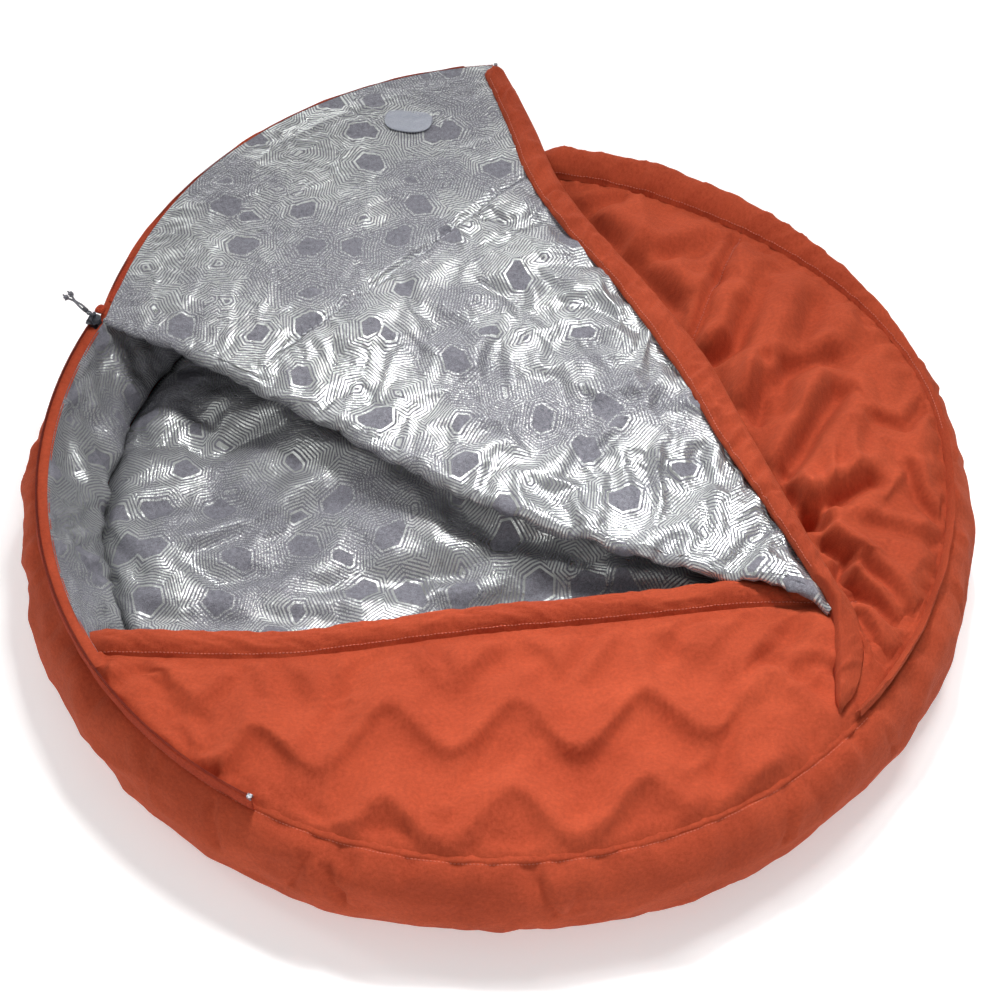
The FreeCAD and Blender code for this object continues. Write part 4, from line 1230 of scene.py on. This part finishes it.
def flap_hem():
    """Hem of the flap's mouth edge. It runs on past the fold, turns down and ends as a standing pleat at the rim."""
    count = 300
    outer = hem_outline(count)
    inner = hem_outline(count, outer=False)
    tail = 70
    corner = FOLD_END[:2]
    rim = PLEAT_END[:2]
    pleat_outer = through([outer[-6], outer[-1], corner + [17, -2], corner + [20, -40], rim + [4, 14], rim + [-12, -10]],
                          tail, 4)[1:]
    pleat_inner = through([inner[-6], corner + [-6, 6], corner + [-7, -38], rim + [-17, -13]], tail, 4)[1:]
    outer = np.concatenate([outer[:-5], pleat_outer])
    inner = np.concatenate([inner[:-5], pleat_inner])
    n = len(outer)
    run = np.concatenate([[0.0], np.cumsum(np.linalg.norm(np.diff(outer, axis=0), axis=1))])
    turn_over = run[count - 6]
    middle = (outer + inner) / 2
    u = behind_fold(np.concatenate([middle, np.zeros((n, 1))], 1))
    rise = math.tan(math.radians(2.5))
    top = FOLD_START[2] + 3.0 + np.where(u > 0, u * rise, 0.0)
    top = top - 3.0 * smooth(60.0, 0.0, run)
    past = np.clip((run - turn_over) / (run[-1] - turn_over), -1, 1)
    drop = np.maximum(past, 0.0)
    hump = 9.0 * bump_at(past, 0.12, 0.22)
    top = top * (1 - drop ** 1.5) + (WALL_TOP + 16.0) * drop ** 1.5 - 14.0 * smooth(0.93, 1.0, drop) + hump
    stands = smooth(-0.25, 0.3, past)  # 0 along the flap, 1 on the pleat
    q = np.linspace(0.0, 1.0, 26, endpoint=False)
    over = np.clip(q / 0.62, 0, 1)
    under = np.clip((q - 0.62) / 0.38, 0, 1)
    across = np.where(q < 0.62, over, 1 - under)
    crown = np.sin(np.pi * np.clip(over, 0, 1)) ** 0.6
    flat_z = 8.0 * crown * (q < 0.62) - 6.0 * np.sin(np.pi * under) ** 0.45 * (q >= 0.62) - 4.0 * over ** 3
    left_face = -22.0 * (1 - np.minimum(over / 0.2, 1.0)) ** 1.6
    right_face = -11.0 * np.maximum((over - 0.3) / 0.7, 0.0) ** 1.6
    pleat_z = np.where(q < 0.62, left_face + right_face, -11.0 - 11.0 * np.sin(np.pi * under / 2))
    section = flat_z[None] * (1 - stands[:, None]) + pleat_z[None] * stands[:, None] * (1 - 0.5 * drop[:, None] ** 6)
    plan = inner[:, None] + (outer - inner)[:, None] * across[None, :, None]
    lean = wrinkles(run[:, None] + across * 24.0, across * 26.0 + run[:, None] * 0, 42.0, 131, 62.0, 1.8)
    face = (q < 0.60)[None] * np.sin(np.pi * np.clip(over, 0.02, 1))[None] ** 0.5
    sewn = sum(bump_at(run, run[np.argmin(np.hypot(*(outer - at).T))], 3.0) for at in ((8.0, 313.0), (233.0, -82.0)))
    rumple = (4.4 * (lean - 0.35) + 1.6 * ripples(run[:, None], across * 30.0, 60.0, 133)) * face
    short = wrinkles(run[:, None] + across * 34.0, across * 30.0 + run[:, None] * 0, 24.0, 137, 50.0, 2.2)
    rumple = rumple + (2.6 * (short - 0.35) - 3.5 * sewn[:, None]) * face
    z = top[:, None] + section + rumple * (1 - 0.4 * stands[:, None])
    points = np.concatenate([plan, z[..., None]], -1)
    centre = points.mean(1, keepdims=True)
    shrink = np.ones(n)
    shrink[0] = 0.8
    shrink = shrink * (1 - 0.75 * smooth(0.86, 1.0, drop))
    points = centre + (points - centre) * shrink[:, None, None]
    m = points.shape[1]
    faces = grid_faces(n, m, closed=True)[:, ::-1].tolist()
    faces.append(list(range(m)))
    faces.append([(n - 1) * m + k for k in range(m)][::-1])
    uv = np.stack(np.broadcast_arrays(run[:, None], (q * 80.0)[None]), -1)
    piece = mesh_piece("flap_hem_roll", points.reshape(-1, 3), faces, uv.reshape(-1, 2), RUST_BINDING)
    on_fold(piece, "shell_cloth", 0.0, 16.0, "flap_hem", "fold_lip_hem")
    return piece


# ---- zip ----
def coil(name, at, sweep_deg, body, node):
    """Continuous nylon coil: a fine helix along one half of the zip."""
    pitch = 1.5
    length = math.radians(sweep_deg[1] - sweep_deg[0]) * SEAM_RADIUS
    count = int(length / pitch * 8)
    s = np.linspace(0.0, 1.0, count)
    turn = s * length / pitch * 2 * np.pi
    middle, place = at
    degrees = sweep_deg[0] + (sweep_deg[1] - sweep_deg[0]) * s
    path = place(degrees, middle + 1.0 * np.cos(turn), 1.0 * np.sin(turn))
    piece = tube(name, path, 0.36, COIL, 5, ZIP_AXIS)
    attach(piece, body)
    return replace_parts(piece, node)


def rim_tape():
    """Tape that stands up from the wall seam and carries the rim's half of the zip."""
    cols = int(math.radians(ZIP_SWEEP_DEG) * SEAM_RADIUS / 3.0)
    degrees, t = np.meshgrid(np.linspace(-0.6, ZIP_SWEEP_DEG + 0.4, cols), np.linspace(0.0, 1.0, 10))
    top = zip_point(degrees, 3.6)
    at = ZIP_START_DEG + degrees
    foot = polar(SEAM_RADIUS + 1.2, at, seam_height(at) - 4.0)
    points = foot + (top - foot) * t[..., None]
    arc = np.radians(degrees) * SEAM_RADIUS
    bow = np.sin(np.pi * t) * (2.2 + 1.2 * ripples(arc, arc * 0, 60.0, 141)) * smooth(0, 8, degrees)
    points = points + unit(points * np.array([1, 1, 0])) * bow[..., None]
    piece = sheet("rim_zip_tape_cloth", points, np.stack([arc, t * 26.0], -1), TAPE)
    return on_base(thicken(piece, 0.7, 0.0), "zip_tape", "rim_zip_tape")


def inner_binding():
    """Strip of shell cloth between the lining's edge and the rim's zip tape."""
    sweep_deg = HEM_LEFT_DEG - ZIP_START_DEG + 7.0
    degrees, t = np.meshgrid(np.linspace(0.8, sweep_deg, int(sweep_deg * 2)), np.linspace(0.0, 1.0, 9))
    outer = zip_point(degrees, 3.0, -2.4)
    inner = polar(SEAM_RADIUS - 9.0, ZIP_START_DEG + degrees, outer[..., 2] - 2.6)
    points = inner + (outer - inner) * t[..., None]
    arc = np.radians(degrees) * SEAM_RADIUS
    points[..., 2] += 1.3 * np.sin(np.pi * t) + 0.5 * ripples(arc, t * 4.0, 30.0, 145) * smooth(1.0, 0.8, t)
    piece = sheet("zip_inner_binding", points, np.stack([arc, t * 10.0], -1), RUST_BINDING)
    return on_base(piece, "shell_cloth")


def flap_tape():
    cols = int(math.radians(ZIP_SWEEP_DEG) * SEAM_RADIUS / 3.0)
    degrees, t = np.meshgrid(np.linspace(4.6, ZIP_SWEEP_DEG - 2.0, cols), np.linspace(0.0, 1.0, 9))
    points = flap_zip_point(degrees, -3.6 - 13.5 * t, 0.6 * np.sin(np.pi * t))
    arc = np.radians(degrees) * SEAM_RADIUS
    piece = sheet("flap_zip_tape_cloth", points, np.stack([arc, t * 13.5], -1), TAPE)
    thicken(piece, 0.8, 0.0)
    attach(piece, "flap")
    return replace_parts(piece, "flap_zip_tape")


def flap_zip_cord():
    """Rounded binding between the flap's shell and its zip tape."""
    degrees = np.linspace(1.0, ZIP_SWEEP_DEG - 2.6, 260)
    path = flap_zip_point(degrees, -15.0 + 3.0 * smooth(20, 60, degrees), 4.5 + 0.6 * ripples(degrees, degrees * 0, 3.0, 151))
    side, up = path_frame(path, ZIP_AXIS)
    piece = sweep("flap_zip_binding", path, side, up, ring_outline(5.2, 14, 0.62), RUST_BINDING)
    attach(piece, "flap")
    return piece


def end_tab():
    """Folded tape sewn across the zip's end."""
    s = np.linspace(-1.0, 1.0, 15)
    path = zip_point(-2.2 + 0.0 * s, 4.0 * s + 2.0, 1.4 - 2.6 * np.abs(s) ** 3)
    side, up = path_frame(path, np.array([0.0, 0.0, 1.0]))
    piece = sweep("zip_end_wrap", path, side, up, ring_outline(6.0, 18, 0.42) * (1 - 0.35 * np.abs(s) ** 4)[:, None, None],
                  TAPE)
    return on_base(piece, "zip_tape", "zip_end_tab")


# ---- slider and pull ----
def slider():
    for name in ("slider_body", "slider_bridge"):
        node = frame["nodes"][name]
        node.data.materials.clear()
        node.data.materials.append(GUNMETAL)
        edge = node.modifiers.new("worn_edges", "BEVEL")
        edge.width = 0.00035
        edge.segments = 2
        edge.limit_method = "ANGLE"
    for name in ("pull_ring", "pull_eye"):
        node = frame["nodes"][name]
        node.data.materials.clear()
        node.data.materials.append(GUNMETAL)
        node.data.polygons.foreach_set("use_smooth", np.ones(len(node.data.polygons), bool))
    for name in ("rim_zip_stop", "flap_zip_stop"):
        node = frame["nodes"][name]
        node.data.materials.clear()
        node.data.materials.append(BRIGHT_METAL)
        edge = node.modifiers.new("rounded", "BEVEL")
        edge.width = 0.0006
        edge.segments = 3
        edge.limit_method = "ANGLE"


def pull_cord():
    """Two braided strands from the moulded sleeve to a knot at each end."""
    sleeve = (low("pull_sleeve") + high("pull_sleeve")) / 2
    knots = (low("pull_knots") + high("pull_knots")) / 2
    ahead = unit(knots - sleeve)
    side = unit(np.cross(ahead, np.array([0.0, 0.0, 1.0])))
    up = np.cross(side, ahead)
    length = np.linalg.norm(knots - sleeve)
    s = np.linspace(0.0, 1.0, 60)
    strands = []
    ends = []
    for hand in (-1.0, 1.0):
        spread = hand * (1.1 + 1.7 * smooth(0.55, 1.0, s) + 0.5 * np.sin(s * 7.0))
        path = sleeve + ahead * (s * length)[:, None] + side * spread[:, None] + up * (0.6 * np.sin(s * 5 + hand))[:, None]
        ends.append(path[-1])
        for k in range(4):
            turn = s * length / 4.2 * 2 * np.pi * (1 if k % 2 else -1) + k * np.pi / 2
            wave = side * np.cos(turn)[:, None] + up * np.sin(turn)[:, None]
            strands.append(tube(f"strand{hand}{k}", path + wave * 0.45, 0.72, CORD, 7, up))
    cord = joined("pull_cord_braid", strands)
    turns = np.linspace(0.0, 1.0, 90)
    knot_pieces = []
    for number, end in enumerate(ends):
        swing = turns * 6 * np.pi
        wobble = 1.55 + 0.55 * np.cos(swing * 1.5)
        path = (end + side * (wobble * np.cos(swing))[:, None] + up * (wobble * np.sin(swing))[:, None]
                + ahead * (1.5 * np.sin(swing * 1.5) - 0.4)[:, None])
        knot_pieces.append(tube(f"knot{number}", path, 1.0, CORD, 8, ahead + 0.3 * side))
        tail = end + ahead * np.linspace(0.5, 4.4, 8)[:, None] + up * np.linspace(0.0, 0.8, 8)[:, None]
        knot_pieces.append(tube(f"tail{number}", tail, 0.95, CORD, 8, up))
    knot = joined("pull_cord_knots", knot_pieces)
    body = sleeve + ahead * np.linspace(-2.6, 2.6, 15)[:, None]
    girth = 1 - 0.18 * np.abs(np.linspace(-1, 1, 15)) ** 3 + 0.05 * np.cos(np.linspace(-1, 1, 15) * 18)
    outline = ring_outline(2.6, 20, 0.8) * girth[:, None, None]
    boot = sweep("pull_cord_sleeve", body, np.repeat(side[None], 15, 0), np.repeat(up[None], 15, 0), outline, RUBBER)
    for piece, slot, node in ((cord, "cord", "pull_cord"), (knot, "cord", "pull_knots"), (boot, "pull_sleeve", "pull_sleeve")):
        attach(piece, "pull")
        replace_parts(piece, node)


# ---- sewn details ----
def stitches(name, tree, plan, finish, body, **how):
    path, normals = laid_on(tree, np.concatenate([plan, np.full((len(plan), 1), 150.0)], 1))
    piece = stitch_run(name, path, normals, finish, **how)
    if body == "fold":
        return on_fold(piece, "shell_cloth", 0.0, 12.0)
    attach(piece, body)
    return piece


def sewn_details(front_top, hem_roll, rear_top, band, lining, flap_roll):
    left, right = chord_span(HEM_WIDTH - 5.5, COVER_RADIUS + 2.0)
    x = np.linspace(left + 3.0, right - 60.0, 400)
    stitches("front_hem_stitches", surface_tree(hem_roll), np.stack([x, hem_line(x, HEM_WIDTH - 6.5)], -1),
             RUST_THREAD, "base")
    band_deg = np.linspace(3.0, ZIP_START_DEG - 50.0, 700)
    stitches("rear_band_stitches", surface_tree(band), polar(band_inner(band_deg) + 2.5, band_deg)[:, :2], RUST_THREAD,
             "base")
    seam = through([np.array(REAR_SEAM[0]) + [0, 8], np.array(REAR_SEAM[1]) - [3, 10]], 80)
    stitches("rear_seam_stitches", surface_tree(rear_top), seam + np.array([3.0, -1.2]), RUST_THREAD, "base")
    outer = hem_outline(300)[6:292]
    inner = hem_outline(300, outer=False)[6:292]
    stitches("flap_hem_stitches", surface_tree(flap_roll), inner + 0.12 * (outer - inner), RUST_THREAD, "fold")
    across = through(LINING_SEAM, 200)
    stitches("lining_dashes", surface_tree(lining), across, SILVER_THREAD, "fold", pitch=7.5, radius=1.0, fill=0.72)


def rim_stitches():
    """Topstitching on the wall just under the front seam and the zip."""
    runs = []
    spans = ((ZIP_START_DEG + 6.0, ZIP_END_DEG + 2.0, 3.2), (ZIP_END_DEG + 2.0, 360.0 + BAND_START_DEG, 3.4))
    for number, (start, end, below) in enumerate(spans):
        degrees = np.linspace(start, end, 700)
        rise = np.full(700, 0.985)
        points, _ = wall_points(degrees, rise)
        points[:, 2] -= 0.2
        outward = unit(points * np.array([1.0, 1.0, 0.0])) + np.array([0.0, 0.0, 0.7])
        runs.append(stitch_run(f"run{number}", points + unit(outward) * 0.35, unit(outward), RUST_THREAD))
    piece = joined("rim_stitches", runs)
    return on_base(piece, "shell_cloth")


def care_patch(lining):
    """Blank woven patch sewn to the lining."""
    middle = (low("care_patch") + high("care_patch")) / 2
    a, b = np.meshgrid(np.linspace(-1.0, 1.0, 25), np.linspace(-1.0, 1.0, 15))
    a = a * 27.0
    b = b * 17.0 * np.maximum(1 - np.abs(a / 27.0) ** 3.0, 0.02) ** 0.4 + 3.0 * (a / 27.0) ** 2
    tilt = math.radians(-8.0)
    plan = np.stack([middle[0] - 30.0 + a * math.cos(tilt) - b * math.sin(tilt),
                     middle[1] - 20.0 + a * math.sin(tilt) + b * math.cos(tilt)], -1)
    flat = np.concatenate([plan.reshape(-1, 2), np.full((a.size, 1), 150.0)], 1)
    path, _ = laid_on(surface_tree(lining), flat, 0.8)
    path = path.reshape(a.shape + (3,))
    path[..., 2] = path[..., 2] * 0.4 + 0.6 * path[..., 2].mean() + 0.6
    piece = sheet("blank_care_patch", path, plan.copy(), PATCH)
    thicken(piece, 0.5, 1.0)
    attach(piece, "flap")
    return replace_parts(piece, "care_patch")


# ---- studio ----
def studio():
    floor = bpy.data.meshes.new("floor")
    reach = 6.0
    floor.from_pydata([(-reach, -reach, 0), (reach, -reach, 0), (reach, reach, 0), (-reach, reach, 0)], [], [(0, 1, 2, 3)])
    ground = bpy.data.objects.new("floor", floor)
    floor.materials.append(pale_floor("pale_floor"))
    bpy.context.scene.collection.objects.link(ground)

    def lamp(name, place, target, size, watts, spread_deg=180.0):
        light = bpy.data.lights.new(name, "AREA")
        light.shape = "RECTANGLE"
        light.spread = math.radians(spread_deg)
        light.size, light.size_y = size
        light.energy = watts
        holder = bpy.data.objects.new(name, light)
        holder.location = place
        holder.rotation_mode = "QUATERNION"
        holder.rotation_quaternion = (Vector(target) - Vector(place)).to_track_quat("-Z", "Y")
        bpy.context.scene.collection.objects.link(holder)

    lamp("key", (0.75, 0.75, 2.3), (0.0, 0.0, 0.1), (0.6, 0.5), 25.0)
    lamp("back_strip", (-0.6, 2.2, 0.8), (0.0, 0.0, 0.1), (2.0, 0.2), 14.0)
    lamp("strip_left", (-2.1, 0.6, 1.3), (0.0, 0.0, 0.1), (0.3, 1.6), 8.0)
    lamp("front_key", (0.15, 0.75, 1.9), (0.05, -0.46, 0.05), (0.3, 0.3), 2.8, 50.0)
    lamp("fill", (-0.2, -2.4, 1.3), (0.0, 0.0, 0.1), (1.6, 1.2), 16.0)
    world = bpy.data.worlds.new("studio")
    world.use_nodes = True
    bpy.context.scene.world = world
    nodes = world.node_tree.nodes
    links = world.node_tree.links
    where = nodes.new("ShaderNodeTexCoord")
    split = nodes.new("ShaderNodeSeparateXYZ")
    ramp = nodes.new("ShaderNodeValToRGB")
    links.new(where.outputs["Generated"], split.inputs[0])
    links.new(split.outputs[2], ramp.inputs[0])
    links.new(ramp.outputs[0], nodes["Background"].inputs[0])
    bands = ((0.0, 1.0), (0.2, 0.7), (0.36, 0.2), (0.55, 0.22), (0.70, 0.5), (0.84, 0.38), (0.93, 0.8), (1.0, 1.0))
    while len(ramp.color_ramp.elements) < len(bands):
        ramp.color_ramp.elements.new(0.5)
    for element, (place, level) in zip(ramp.color_ramp.elements, bands):
        element.position = place
        element.color = (level, level, level * 1.01, 1.0)
    nodes["Background"].inputs[1].default_value = 0.52
    bpy.context.scene.view_settings.view_transform = "Standard"


def camera():
    """Looks along +Y and 51 degrees down, two metres from the bed."""
    elevation = math.radians(51.0)
    distance = 2.0
    target = Vector((0.0022, 0.0277, 0.0))
    back = Vector((0.0, -math.cos(elevation), math.sin(elevation)))
    lens = bpy.data.cameras.new("camera")
    lens.sensor_width = 36.0
    lens.lens = 69.3
    holder = bpy.data.objects.new("camera", lens)
    holder.location = target + back * distance
    holder.rotation_mode = "QUATERNION"
    holder.rotation_quaternion = (-back).to_track_quat("-Z", "Y")
    bpy.context.scene.collection.objects.link(holder)
    bpy.context.scene.camera = holder


wall_shell("wall_rear", 26.0, "wall_shell_rear")
wall_shell("wall_front", 206.0, "wall_shell_front")
bottom_panel()
side_lining()
floor_cushion()
cover_front = front_cover()
hem_front = front_hem()
rim_binding()
cover_rear = rear_cover()
band_rear = rim_band()
lining_flap = flap_lining()
flap_shell()
hem_flap = flap_hem()
coil("rim_coil_helix", (2.5, zip_point), (-0.6, ZIP_SWEEP_DEG - 0.4), "base", "rim_zip_coil")
coil("flap_coil_helix", (-2.5, flap_zip_point), (3.3, ZIP_SWEEP_DEG - 2.3), "flap", "flap_zip_coil")
rim_tape()
inner_binding()
flap_tape()
flap_zip_cord()
end_tab()
slider()
pull_cord()
sewn_details(cover_front, hem_front, cover_rear, band_rear, lining_flap, hem_flap)
rim_stitches()
care_patch(lining_flap)
studio()
camera()
